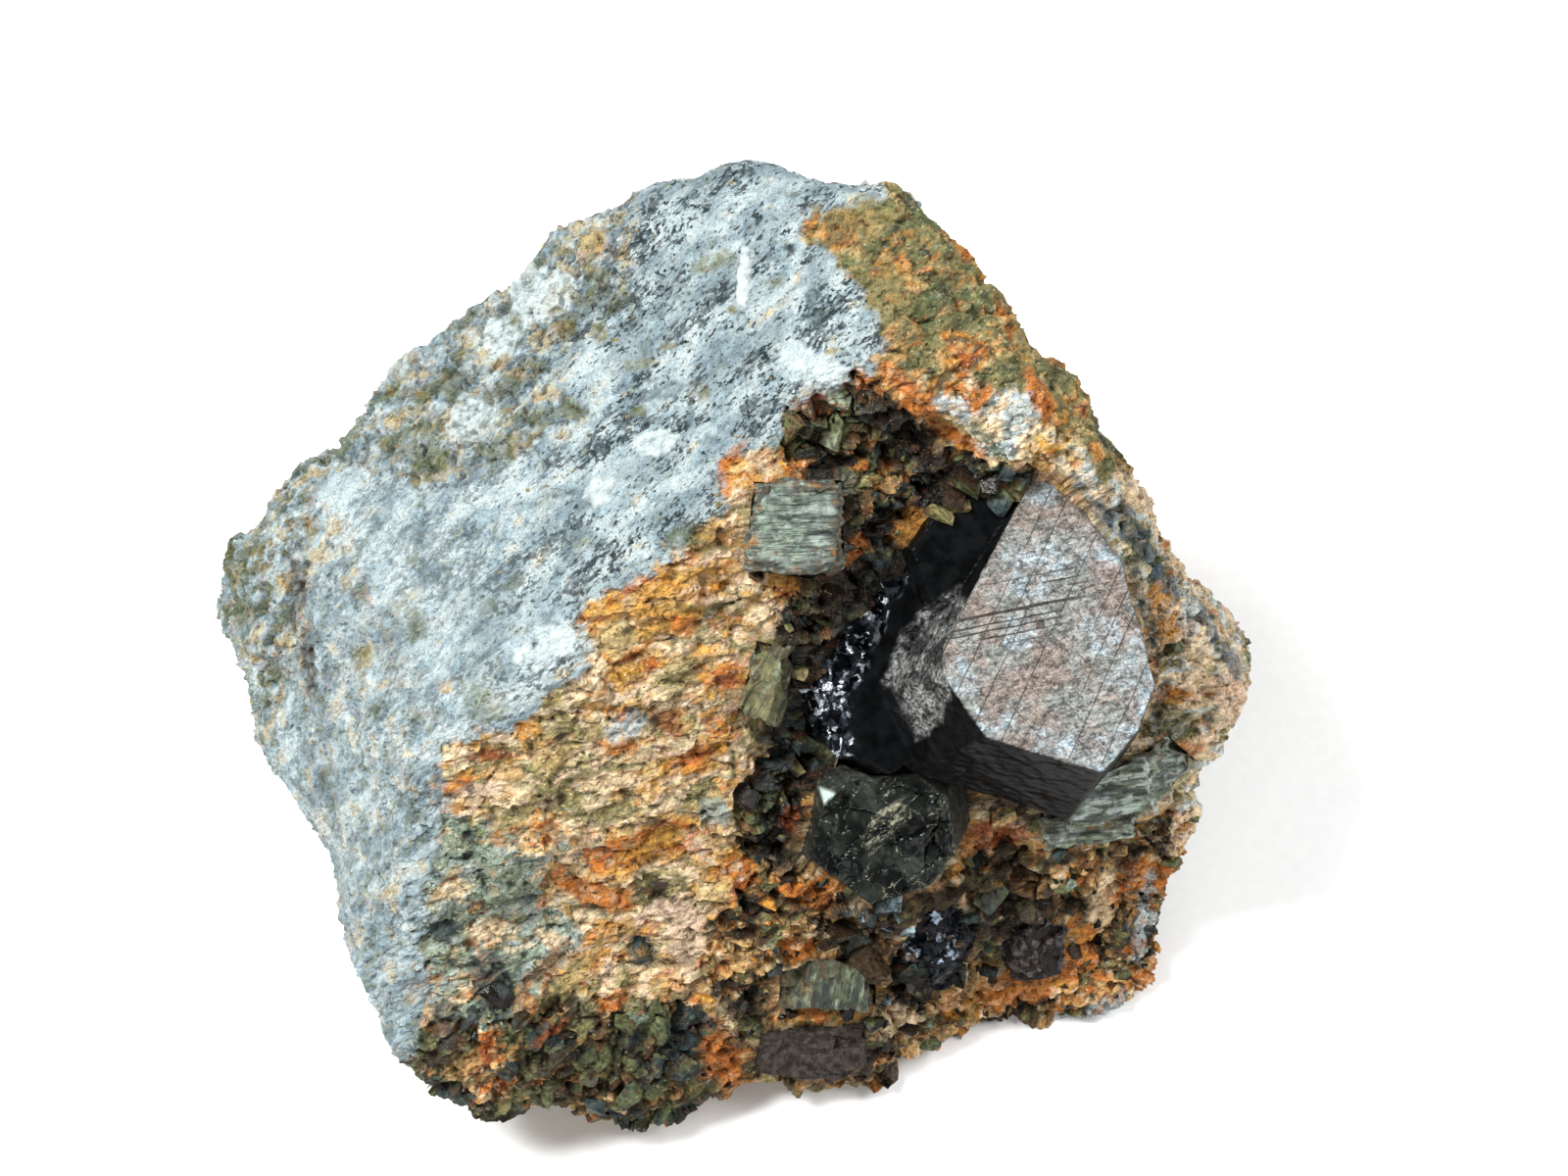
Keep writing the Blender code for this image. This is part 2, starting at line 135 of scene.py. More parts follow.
# Patches that stand out, of one or more ellipses each: (across, down) in the picture, half length,
# half width, degrees that the long side rises to the right, and the colour.
PATCHES = {
    "white_lath": [(760, 282, 2.0, 0.45, 88, "white")],
    "white_by_the_ridge": [(826, 374, 2.6, 1.4, -20, "white")],
    "white_middle": [(668, 452, 1.6, 0.9, 10, "white"), (612, 500, 1.2, 1.0, 50, "white")],
    "white_near_the_front": [(560, 660, 2.4, 1.3, 30, "white")],
    "blurred_white": [(548, 300, 2.2, 1.9, 45, "white"), (505, 345, 1.5, 1.3, 20, "white"),
        (480, 428, 2.0, 1.4, 20, "white")],
    "dull_white_edge": [(396, 372, 1.8, 1.2, 40, "cool_white")],
    "green_on_white": [(494, 714, 1.7, 1.3, -30, "sage"), (700, 548, 1.6, 0.9, 20, "moss"),
        (510, 462, 1.3, 1.0, 60, "moss"), (440, 472, 1.5, 0.6, 15, "moss"),
        (436, 588, 0.9, 0.7, 0, "slate"), (722, 268, 1.6, 0.5, 25, "sage"),
        (650, 372, 1.2, 0.4, 10, "sage"), (690, 398, 1.8, 0.4, 20, "slate")],
    "green_by_the_edge": [(588, 600, 0.5, 0.8, 80, "ink_green")],
    "marks_by_the_lath": [(806, 253, 0.5, 0.4, 0, "ink_green"), (728, 272, 1.9, 0.3, 18, "moss"),
        (828, 303, 0.4, 0.8, 0, "slate"), (790, 288, 0.9, 0.3, -10, "sage"),
        (688, 304, 0.4, 0.4, 0, "slate")],
    "ochre_below_the_lath": [(748, 317, 0.5, 0.3, 20, "olive")],
    "ochre_in_the_middle": [(682, 354, 0.7, 0.3, 15, "olive")],
    "green_in_the_middle": [(714, 398, 0.6, 0.9, 60, "moss"), (672, 400, 1.7, 0.3, 25, "slate"),
        (705, 422, 0.3, 1.1, 0, "slate")],
    "ochre_on_the_ridge": [(850, 358, 0.7, 0.25, 15, "khaki")],
    "ochre_by_the_edge": [(604, 250, 1.3, 0.8, 60, "straw"), (611, 340, 0.8, 0.6, 80, "olive")],
    # Painted shade in the cleft between the pale face and the left shoulder.
    "painted_shade_in_the_cleft": [(302, 600, 0.7, 2.4, 0, "umber"), (315, 680, 0.45, 3.2, 6, "umber")],
    "olive_spots": [(499, 621, 0.7, 0.6, 45, "moss"), (523, 594, 0.9, 0.5, 30, "moss"),
        (368, 671, 0.7, 0.8, 0, "olive"), (421, 571, 0.5, 0.4, 0, "moss"),
        (455, 700, 0.5, 0.5, 0, "straw")],
    "brown_spots": [(602, 272, 0.5, 0.9, 0, "olive"), (573, 334, 0.8, 0.6, 0, "olive"),
        (635, 301, 0.6, 0.5, 0, "olive"), (648, 420, 0.8, 0.4, 10, "moss")],
    "moss_at_left": [(424, 640, 0.8, 1.2, 0, "moss"), (240, 580, 0.9, 1.6, 10, "moss")],
    "orange_by_the_slab": [(748, 462, 1.6, 0.4, 50, "orange"), (738, 490, 0.5, 1.3, 10, "orange")],
    "ochre_corner": [(676, 624, 2.4, 1.8, 20, "ochre"), (626, 652, 1.2, 1.4, 10, "straw")],
    "orange_under_the_slab": [(700, 640, 0.8, 1.0, 80, "orange")],
    "tan_ridge_end": [(690, 690, 1.4, 1.0, 0, "khaki")],
    "white_grey_on_rust": [(640, 742, 1.3, 1.0, 25, "cool_white")],
    "rust_by_it": [(684, 742, 0.9, 1.0, 0, "rust")],
    "dark_specks": [(574, 750, 0.5, 0.4, 0, "umber"), (670, 740, 0.4, 0.4, 0, "umber")],
    "straw_lens": [(566, 774, 1.9, 0.8, 30, "straw")],
    "tan_lens": [(516, 790, 1.7, 0.6, 5, "tan")],
    "rust_line": [(500, 772, 1.6, 0.4, 5, "rust")],
    "pink_lens": [(492, 806, 2.0, 0.5, 8, "pink_cream")],
    "dark_streak": [(640, 782, 2.2, 0.25, 8, "olive")],
    "cream_lens": [(628, 798, 2.4, 0.7, 8, "cream")],
    "red_streak": [(712, 770, 2.0, 0.45, 22, "rust")],
    "dark_lens": [(667, 838, 0.9, 0.4, 15, "umber")],
    "amber_lenses": [(672, 862, 1.8, 0.7, 35, "ochre"), (730, 912, 1.3, 1.0, 20, "straw")],
    "mica_flake": [(730, 830, 0.9, 1.1, 60, "mica")],
    "orange_middle": [(610, 912, 2.6, 1.0, -15, "orange"), (650, 880, 1.0, 0.7, 20, "amber")],
    "pale_grains": [(495, 950, 1.5, 0.6, 10, "cream"), (565, 958, 1.2, 0.5, -10, "cream"),
        (462, 915, 1.3, 0.3, 15, "cream")],
    "pink_patch": [(700, 948, 1.3, 2.9, 8, "pink_cream"), (672, 930, 1.6, 0.7, 30, "pink_cream")],
    "pink_grain": [(622, 990, 0.5, 1.0, -20, "pink_cream")],
    "red_rim": [(608, 986, 0.3, 0.9, -10, "rust")],
    "green_chunk": [(656, 968, 0.9, 1.2, 40, "ink_green")],
    "brown_laths": [(580, 1000, 3.2, 0.8, 50, "khaki"), (556, 985, 2.2, 0.5, 50, "brown")],
    "black_mica": [(502, 1006, 1.5, 2.3, 10, "ink_green"), (456, 1040, 1.3, 1.2, 0, "ink_green"),
        (506, 1012, 0.9, 1.3, 15, "black")],
    "orange_foot": [(626, 1022, 1.3, 0.6, 30, "orange"), (562, 1052, 1.6, 0.4, 30, "rust"),
        (735, 1080, 1.2, 2.2, 20, "orange")],
    "tan_foot": [(470, 1088, 1.4, 0.8, 30, "tan")],
    "moss_foot": [(670, 1050, 1.3, 1.2, 30, "moss")],
    "sage_foot": [(648, 1040, 1.0, 0.6, 20, "grey_green")],
    "rust_at_the_rib": [(754, 720, 1.0, 0.5, 20, "rust")],
    "ochre_lump": [(930, 540, 1.6, 1.3, 30, "amber")],
    "tan_lump": [(985, 505, 0.9, 1.2, 0, "tan")],
    "orange_in_hollow": [(872, 560, 1.2, 0.8, 40, "orange")],
    "red_block": [(826, 411, 1.2, 0.5, 10, "red_brown")],
    "pale_green_block": [(852, 406, 0.5, 0.5, 0, "grey_green")],
    "moss_above_slab": [(812, 440, 0.9, 1.2, 10, "moss")],
    "orange_ledge": [(930, 404, 2.6, 0.8, -50, "orange"), (980, 450, 2.4, 0.5, -30, "orange")],
    "red_stain": [(1060, 402, 0.7, 2.2, 25, "orange")],
    "moss_on_olive": [(910, 300, 1.6, 2.4, 10, "olive")],
    "olive_top": [(876, 226, 3.0, 1.6, 20, "olive")],
    "green_by_band": [(1000, 440, 1.0, 0.4, -40, "grey_green")],
    "orange_recess": [(950, 782, 4.0, 0.9, -10, "orange"), (1010, 860, 2.2, 0.6, 10, "rust")],
    "pink_grains": [(1030, 832, 0.8, 0.9, 0, "pink_cream")],
    "orange_right": [(1188, 625, 1.0, 2.2, 5, "amber")],
    "green_band_right": [(1160, 548, 0.9, 4.0, 37, "ink_green")],
    "slate_band_right": [(1190, 590, 0.7, 1.6, 30, "slate")],
    "cream_right": [(1226, 664, 1.5, 2.4, 10, "cream"), (1256, 712, 1.3, 1.9, 20, "pink_cream")],
    "white_right": [(1212, 632, 0.8, 1.4, 0, "white")],
    "slate_line_right": [(1244, 656, 0.5, 3.0, 32, "slate")],
    "green_patch_right": [(1200, 738, 1.4, 1.1, 0, "moss")],
    "rust_right": [(1196, 768, 2.4, 0.6, 12, "orange")],
    "cream_above_blades": [(1176, 756, 1.2, 0.4, 10, "cream")],
    "dark_joint": [(1120, 872, 4.6, 0.4, 5, "black")],
    "cream_lower_right": [(1126, 912, 0.8, 1.6, -25, "cream")],
    "orange_lower_right": [(1040, 1008, 2.8, 1.4, 15, "orange")],
    "white_rim": [(1168, 930, 0.6, 3.0, -10, "white")],
    "blue_rim": [(1128, 1022, 1.6, 0.8, 30, "cool_white")],
    "cream_foot_right": [(912, 1042, 1.6, 1.0, 10, "cream")],
    "dark_foot_right": [(1150, 880, 0.8, 1.6, -20, "umber")],
    # Painted shade: a thin dark line where the rock meets the plate's right edge.
    "painted_shade_by_the_plate": [(1121, 519, 2.7, 0.42, -50, "slate"), (1169, 620, 3.7, 0.42, -74, "ink_green"),
        (1183, 717, 1.8, 0.4, 72, "umber")],
    "left_of_the_glassy": [(808, 868, 1.1, 2.4, 8, "umber"), (806, 836, 0.6, 0.9, 0, "rust")],
    "shade_by_the_glassy": [(880, 942, 3.7, 1.9, -8, "black"), (944, 918, 3.0, 1.4, 5, "umber"),
        (1032, 826, 3.6, 0.6, -17, "umber"), (930, 972, 4.2, 2.2, 8, "umber"),
        (1012, 908, 2.6, 1.6, 12, "umber"), (1062, 930, 1.6, 2.2, 0, "black")],
    "rust_under_the_plate": [(1016, 850, 2.2, 0.8, -10, "rust")],
    "olive_under_the_plate": [(1074, 846, 1.5, 0.8, 5, "olive")],
}

TOWARD_CAMERA = np.array((0.0, -math.sin(math.radians(CAMERA_PITCH)),
                          math.cos(math.radians(CAMERA_PITCH))))
PICTURE_UP = np.array((0.0, math.cos(math.radians(CAMERA_PITCH)),
                       math.sin(math.radians(CAMERA_PITCH))))
PICTURE_RIGHT = np.array((1.0, 0.0, 0.0))
PIXELS_PER_MM = 17.5      # at the block's front

# Where the main faces look: azimuth and elevation, with 0 the front and 90 the right.
FRESH_FACES = (-65, 63)
RUSTY_FACES = (16.5, 34)
PLATE_FACES = (42, 69)
LOWER_FACES = (4, 44)

# Grain size and how much longer grains are along their own streak, which rises by so many degrees.
FRESH_GRAIN = {"size": 0.55, "stretch": 1.8, "rises": 38, "faces": FRESH_FACES}
EDGE_GRAIN = {"size": 0.8, "stretch": 1.4, "rises": 38, "faces": FRESH_FACES}
RUSTY_GRAIN = {"size": 1.05, "stretch": 1.9, "rises": 12, "faces": RUSTY_FACES}
FOOT_GRAIN = {"size": 1.6, "stretch": 1.8, "rises": 48, "faces": RUSTY_FACES}
COARSE_GRAIN = {"size": 1.9, "stretch": 1.4, "rises": 20, "faces": RUSTY_FACES}
PLAIN_GRAIN = {"size": 1.3, "stretch": 1.3, "rises": 20, "faces": RUSTY_FACES}
FINE_GRAIN = {"size": 0.42, "stretch": 1.5, "rises": 12, "faces": RUSTY_FACES}
ZONE_GRAINS = {"fresh": FRESH_GRAIN, "edge": EDGE_GRAIN, "left": FRESH_GRAIN,
               "rusty": RUSTY_GRAIN, "mossy": RUSTY_GRAIN, "foot": FOOT_GRAIN,
               "olive": RUSTY_GRAIN, "band": FOOT_GRAIN, "hollow": PLAIN_GRAIN,
               "right": PLAIN_GRAIN, "lower_right": COARSE_GRAIN, "back": PLAIN_GRAIN,
               "back_rusty": FOOT_GRAIN}
# How far grains stand out or sink in, in each zone.
RELIEF = {"fresh": 0.08, "edge": 0.30, "left": 0.16, "rusty": 0.30, "mossy": 0.32, "foot": 0.55,
          "olive": 0.22, "band": 0.36, "hollow": 0.85, "right": 0.34, "lower_right": 0.65,
          "back": 0.30, "back_rusty": 0.30}
PALE_ZONES = ("fresh", "edge", "left")
# The pieces that the block's skin is parted into. The other zones are the rusty front.
PIECE_ZONES = {"rock_pale_faces": PALE_ZONES, "rock_hidden_side": ("back", "back_rusty"),
               "rock_coarse_front": ("hollow", "band", "right", "lower_right")}
SPECKLES_FADE = (400, 640)    # between these pixels, dark specks fade by half toward the left
BORDER = 0.3              # over so many millimetres either side, one zone turns into the next

BEND = 0.55               # how far noise bends the grains' outlines, in grains
DRIFT_SPREAD = 0.7        # how much one grain's colour may differ from its neighbours'
PIT_DEPTH = 0.9           # in grain heights
SEAM_DEPTH = 0.4
SEAM_SHADE = 0.25         # how much darker the rock is between its grains
FINE_OFTEN = 0.4          # the share of the finest grains that show well
FINE_TINT, FAINT_TINT = 0.65, 0.12    # how much they count in the colour, and the others
PLATE_CLEARANCE = 0.4     # rock that lies over the plate's face sinks this far below it
ROCK_CELL = 0.37          # edge of the block's squares before those in sight are split
HUG_WITHIN = 0.55         # skin this near to a crystal goes to its face
HUG_SINK = 0.06           # and this far under it
CALM_WITHIN = 1.3         # the skin keeps low this near to a crystal

# Crumbs by zone: how many are tried, their size and the shares of their colours.
DARK_CRUMBS = {"black": 9, "umber": 6, "ink_green": 4, "brown": 3, "moss": 2}
CRUMBS = {
    # The hollow's dark crumbs are partly painted shade of the recess.
    "hollow": (500, 0.85, {**DARK_CRUMBS, "khaki": 1}),
    "lower_right": (450, 0.95, {**DARK_CRUMBS, "tan": 2, "khaki": 2, "amber": 2}),
    "foot": (130, 0.9, {**DARK_CRUMBS, "moss": 5}),
    "mossy": (50, 0.5, {"grey_green": 3, "sage": 3, "ink_green": 3, "moss": 3}),
    "right": (60, 0.5, {"tan": 2, "khaki": 3, "moss": 2, "ink_green": 2}),
}
# Around these places in the picture, within so many pixels, crumbs are dark only, as painted shade in
# the recess round the glassy crystal.
SHADED_SPOTS = [(812, 868), (856, 926), (884, 960), (930, 975), (940, 912), (1000, 905), (1060, 930)]
SHADED_REACH = 48
CRUMB_SEED = 7
CRUMB_MARGIN = 0.4        # crumbs keep this far inside their zone
CRUMB_CLEARANCE = 0.4     # and this far from a crystal
CRUMB_LOWEST = 1.0        # and this far above the ground

# Larger crystals of the rock that stand out, one or more under each name: (across, down) in the
# picture, size and colour.
LUMPS = {
    "red_block": [(826, 411, 2.2, "red_brown")],
    "green_by_the_red": [(857, 408, 1.2, "sage")],
    "dark_below_the_red": [(850, 440, 2.2, "umber")],
    "moss_above_the_slab": [(806, 440, 1.9, "moss")],
    "in_the_hollow": [(978, 516, 1.5, "brown"), (958, 524, 1.6, "olive")],
    "at_the_tip": [(1014, 506, 2.2, "ink_green"), (1036, 492, 1.3, "moss")],
    "over_the_column": [(988, 490, 2.3, "umber"), (1008, 496, 2.0, "black"), (974, 508, 1.8, "umber"),
        (1024, 502, 1.4, "umber")],
    "round_the_slab": [(860, 516, 1.4, "umber"), (862, 556, 1.3, "black"), (840, 588, 1.5, "umber"),
        (770, 584, 1.4, "brown"), (850, 488, 1.4, "umber")],
    "at_the_foot": [(908, 1088, 1.8, "umber"), (950, 1062, 1.6, "moss")],
    "below_the_glassy": [(856, 948, 2.2, "black"), (886, 984, 2.5, "umber"), (928, 992, 2.3, "black"),
        (870, 962, 1.9, "ink_green"), (905, 925, 1.7, "black")],
    # Real flakes whose pale blue-white is a painted flash of light.
    "flakes_with_painted_flash": [(884, 936, 0.8, "cool_white"), (904, 946, 0.9, "blue_grey"),
        (926, 950, 0.8, "cool_white"), (866, 932, 0.8, "slate"), (916, 936, 0.7, "slate")],
    "right_of_the_glassy": [(985, 935, 1.9, "moss"), (1012, 916, 2.0, "ink_green"),
        (1050, 930, 2.2, "umber"), (1085, 905, 1.8, "moss")],
    "pale_flake": [(905, 1020, 0.9, "blue_grey")],
    "blue_wedge": [(966, 1010, 2.0, "ink_green")],
    "foot_mica": [(508, 1014, 2.0, "black"), (478, 1040, 1.6, "ink_green"), (530, 1040, 1.5, "umber")],
    "foot_green": [(668, 1052, 1.9, "moss"), (640, 1044, 1.5, "moss")],
    "foot_dark": [(600, 1096, 2.3, "umber"), (556, 1112, 2.0, "moss"), (516, 1088, 1.8, "ink_green"),
        (694, 1092, 1.7, "umber"), (640, 1120, 2.2, "moss")],
    "green_in_the_middle": [(656, 966, 1.7, "ink_green")],
    "tan_in_the_recess": [(1024, 832, 1.5, "tan")],
    "at_the_right": [(1196, 664, 1.5, "moss"), (1168, 566, 1.6, "ink_green")],
}

CRYSTAL_CELL = 0.14       # edges of the squares that the crystals' skins are made of
BLADE_CELL = 0.12
BLADE_RELIEF = 0.22
# Parts of the crystals that show inside these outlines on the picture.
SILVER_SIDE = [(978, 600), (944, 620), (918, 646), (906, 690), (918, 728), (936, 754),
               (954, 742), (970, 704), (966, 664), (988, 628)]
SCORED = [(960, 668), (978, 622), (1010, 596), (1098, 574), (1112, 598), (1086, 636), (1010, 664)]
PLATE_FACE = [(1059, 485), (1081, 479), (1116, 523), (1147, 568), (1173, 655), (1182, 693),
              (1163, 740), (1125, 787), (1074, 777), (1010, 755), (963, 690), (963, 665),
              (998, 587)]
# A small facet of the glassy crystal with a painted mint highlight.
MINT_HIGHLIGHT_FACET = [(836, 803), (853, 810), (841, 823)]
SLAB_MIDDLE = [(774, 502), (800, 497), (846, 500), (848, 530), (840, 558), (843, 572), (800, 576),
               (778, 568), (772, 540)]
CRUST = [(882, 858), (896, 826), (926, 812), (922, 838), (902, 858), (890, 872)]
# Where the blades carry a painted highlight.
BLADE_HIGHLIGHTS = [(1094, 804), (1104, 790), (1170, 778), (1174, 800), (1162, 826), (1112, 836)]
BROKEN_EDGE = [(800, 690), (850, 770), (872, 772), (862, 722), (882, 680), (906, 622), (930, 590),
               (892, 570), (858, 630), (820, 668)]
# Painted bluish sheen on the plate, a painted reflection: (across, down) in the picture and its reach.
SHEEN = {
    "tip": (1068, 500, 1.6),
    "middle": (1058, 582, 2.3),
    "below_middle": (1040, 640, 1.5),
    "left_corner": (972, 692, 1.7),
    "lower_left_rim": (1010, 742, 1.5),
    "lower_rim": (1076, 764, 1.7),
    "bottom_corner": (1128, 768, 1.8),
    "right_rim": (1166, 690, 2.2),
    "right_middle": (1128, 640, 1.5),
    "upper_right": (1118, 560, 1.8),
}
RIM_HIGHLIGHT_FROM = (1085, 1125)    # painted highlight along the plate's rim, growing toward the right between these
# Where the crystal in shadow shows painted flashes, its painted glints gathered here.
FLASH = {"upper_left": (940, 952, 2.6), "middle": (968, 966, 1.2)}

# The dark crystals by CAD node, with shards of this grain. Colours are in linear light.
DARK_CRYSTALS = {
    "ilmenite_shadowed": {
        "name": "ilmenite_in_shadow", "slot": "ilmenite_black", "grain": 0.8, "relief": 0.40,
        "flashes": FLASH,
        "looks": {"name": "shadowed_ilmenite", "base": (0.012, 0.014, 0.017),
                  "lit": (0.30, 0.36, 0.44), "lit_share": 0.3, "roughness": 0.14, "metallic": 0.5}},
    "ilmenite_foot": {
        "name": "ilmenite_at_foot", "slot": "ilmenite_brown", "grain": 1.6, "relief": 0.16,
        "looks": {"name": "brown_ilmenite", "base": (0.026, 0.019, 0.015),
                  "lit": (0.042, 0.033, 0.028), "lit_share": 0.5, "roughness": 0.55,
                  "metallic": 0.0}},
    "ilmenite_corner": {
        "name": "ilmenite_at_corner", "slot": "ilmenite_black", "grain": 1.1, "relief": 0.22,
        "looks": {"name": "corner_ilmenite", "base": (0.016, 0.013, 0.012),
                  "lit": (0.075, 0.066, 0.062), "lit_share": 0.5, "roughness": 0.3,
                  "metallic": 0.2}},
}
# The amphibole by CAD node: how its blades rise, where its front looks, and its stripes' colours.
BLADES = {
    "amphibole_slab": {
        "name": "striped_slab", "rises": 2, "faces": (4, 58), "slot": "amphibole_pale",
        "palette": ("ink_green", "grey_green", "mica"), "clean_inside": SLAB_MIDDLE},
    "amphibole_rib": {
        "name": "olive_rib", "rises": 62, "faces": (-6, 50), "slot": "amphibole_dark",
        "palette": ("moss", "olive", "grey_green")},
    "amphibole_blades": {
        "name": "green_blades", "rises": 6, "faces": (8, 48), "slot": "amphibole_pale",
        "palette": ("moss", "grey_green", "white")},
    "amphibole_blades_at_foot": {
        "name": "green_blades_at_foot", "rises": 80, "faces": (-8, 44), "slot": "amphibole_dark",
        "palette": ("ink_green", "moss", "sage")},
}
# Colours of the crystals' faces and the floor, as red, green and blue in linear light.
FACE_COLOURS = {
    "steel": (0.24, 0.25, 0.232),
    "warm_steel": (0.236, 0.198, 0.172),
    "blue_sheen": (0.40, 0.50, 0.56),
    "scored_line": (0.03, 0.026, 0.025),
    "side_shade": (0.012, 0.011, 0.010),
    "side_silver": (0.23, 0.24, 0.23),
    "gloss": (0.003, 0.0033, 0.0036),
    "dark_splinter": (0.008, 0.009, 0.011),
    "splinter": (0.055, 0.066, 0.082),
    "glint": (0.60, 0.65, 0.70),
    "glass_black": (0.004, 0.005, 0.0045),
    "glass_green": (0.019, 0.024, 0.018),
    "dull_grey": (0.036, 0.038, 0.035),
    "bone": (0.26, 0.25, 0.18),
    "mint": (0.42, 0.53, 0.46),
    "blade_glow": (0.50, 0.58, 0.51),
    "paper": (0.9, 0.9, 0.9),
}

FLOOR_SIDE = 3000.0
LIT_MIDDLE = (0.0, 0.0, 22.0)
# Where each lamp is, how wide it is in millimetres, and its power.
LAMPS = {
    "key": ((-150.0, -10.0, 260.0), 110.0, 1.57),
    "fill": ((220.0, 20.0, 190.0), 160.0, 0.75),
    "low": ((-80.0, -260.0, 120.0), 160.0, 0.25),
}
WORLD_LIGHT = 0.3


def linear(code):
    """A colour code's red, green and blue as linear light."""
    levels = [int(code[i:i + 2], 16) / 255 for i in (1, 3, 5)]
    return [v / 12.92 if v <= 0.04045 else ((v + 0.055) / 1.055) ** 2.4 for v in levels]


def direction(azimuth, elevation):
    """A unit vector toward this azimuth and elevation, in degrees."""
    a, e = math.radians(azimuth), math.radians(elevation)
    return np.array((math.sin(a) * math.cos(e), -math.cos(a) * math.cos(e), math.sin(e)))


def streak_frame(rises, faces):
    """Rows: along a streak that rises by so many degrees in the picture, across it, and outward."""
    outward = direction(*faces)
    angle = math.radians(rises)
    along = PICTURE_RIGHT * math.cos(angle) + PICTURE_UP * math.sin(angle)
    along = along - outward * (along @ outward)
    along /= np.linalg.norm(along)
    return np.array((along, np.cross(outward, along), outward))


def smooth(values, low, high):
    """From 0 to 1 as the values go from low to high, easing at both ends."""
    t = np.clip((values - low) / (high - low), 0.0, 1.0)
    return t * t * (3.0 - 2.0 * t)


def on_picture(points):
    """The pixels where points show."""
    away = points - np.array(CAMERA_AT)
    scale = LENS / SENSOR * PICTURE[0] / -(away @ TOWARD_CAMERA)
    across = PICTURE[0] / 2 + away @ PICTURE_RIGHT * scale
    down = PICTURE[1] / 2 - away @ PICTURE_UP * scale
    return np.stack((across, down), axis=1)


def depth_inside(places, outline):
    """How many millimetres each place lies inside an outline, negative outside."""
    nearest = np.full(len(places), 1e9)
    within = np.zeros(len(places), bool)
    corners = np.array(outline, float)
    for a, b in zip(corners, np.roll(corners, -1, axis=0)):
        side = b - a
        t = np.clip(((places - a) @ side) / (side @ side), 0.0, 1.0)
        nearest = np.minimum(nearest, np.linalg.norm(places - a - t[:, None] * side, axis=1))
        spans = (a[1] > places[:, 1]) != (b[1] > places[:, 1])
        if a[1] != b[1]:
            crossing = a[0] + (places[:, 1] - a[1]) / (b[1] - a[1]) * side[0]
            within ^= spans & (places[:, 0] < crossing)
    return np.where(within, nearest, -nearest) / PIXELS_PER_MM


def noise_at(points, size, row):
    """Smooth noise from about -1 to 1, with features of this size. Another row is other noise."""
    return np.array([noise.noise(p) for p in map(Vector, points / size + 17.3 * row)])


def stirring(points, size, rows):
    """Noise in three directions, for moving points about. Each direction has its own row."""
    return np.stack([noise_at(points, size, row) for row in rows], axis=1)


def chance(places, row):
    """One number from 0 to 1 for each place, the same for equal places."""
    mixed = np.sin(places @ np.array((12.9898, 78.233, 37.719)) + 4.7 * row) * 43758.5453
    return mixed - np.floor(mixed)


class Grains:
    """Crystal grains through the rock: which grain each point is in, and the shape it gives."""

    def __init__(self, points, size, stretch, rises, faces):
        turned = points @ streak_frame(rises, faces).T / np.array((stretch, 1.0, 1.0))
        bends = stirring(turned, size * 0.8, (41, 42, 43))
        self.drift = noise_at(turned, size * 2.2, 44)
        local = turned / size + BEND * bends
        found = [noise.voronoi(p) for p in map(Vector, local)]
        middle = np.array([f[1][0] for f in found])
        near = np.array([f[0][:2] for f in found])
        self.number = np.round(middle, 4)
        self.seam = near[:, 1] - near[:, 0]
        lean = np.stack([self.chance(row) - 0.5 for row in (1, 2, 3)], axis=1)
        self.height = np.sum((local - middle) * lean, axis=1) * 2.2 + self.chance(4) - 0.5

    def chance(self, row):
        return chance(self.number, row)


def evened(values):
    """The same order of values, spread evenly from 0 to 1."""
    return np.argsort(np.argsort(values)) / len(values)


def pick(palette, chances):
    """For each chance from 0 to 1, the colour whose share of the palette it falls in."""
    shares = np.cumsum([float(share) for share in palette.values()])
    index = np.searchsorted(shares / shares[-1], chances, side="right")
    colours = np.array([linear(COLOURS[name]) for name in palette])
    return colours[np.minimum(index, len(colours) - 1)]


def put_numbers(mesh, **numbers):
    """Keep one number for each vertex under each of these names, for the material to read."""
    for name, values in numbers.items():
        mesh.attributes.new(name, "FLOAT", "POINT").data.foreach_set("value", values.astype("f"))


def put_tint(mesh, colours):
    rows = np.ones((len(colours), 4), "f")
    rows[:, :3] = colours
    mesh.attributes.new("tint", "FLOAT_COLOR", "POINT").data.foreach_set("color", rows.ravel())


def vertices(mesh):
    """Every vertex's place in millimetres, and its normal."""
    places = np.empty(len(mesh.vertices) * 3, "f")
    normals = np.empty(len(mesh.vertices) * 3, "f")
    mesh.vertices.foreach_get("co", places)
    mesh.vertices.foreach_get("normal", normals)
    return places.reshape(-1, 3).astype(float) / MM, normals.reshape(-1, 3).astype(float)


def move_vertices(mesh, places):
    mesh.vertices.foreach_set("co", (places * MM).astype("f").ravel())
    mesh.update()


def added(name, data):
    """A new object in the scene."""
    obj = bpy.data.objects.new(name, data)
    bpy.context.scene.collection.objects.link(obj)
    return obj


def evenly_skinned(node, name, cell):
    """A new object: a copy of a CAD node's mesh, skinned anew in even squares."""
    obj = added(name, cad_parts[node].data.copy())
    skin = obj.modifiers.new("skin", "REMESH")
    skin.mode = "VOXEL"
    skin.voxel_size = cell * MM
    seen = obj.evaluated_get(bpy.context.evaluated_depsgraph_get())
    mesh = bpy.data.meshes.new_from_object(seen)
    obj.modifiers.clear()
    obj.data = mesh
    mesh.materials.clear()
    return obj


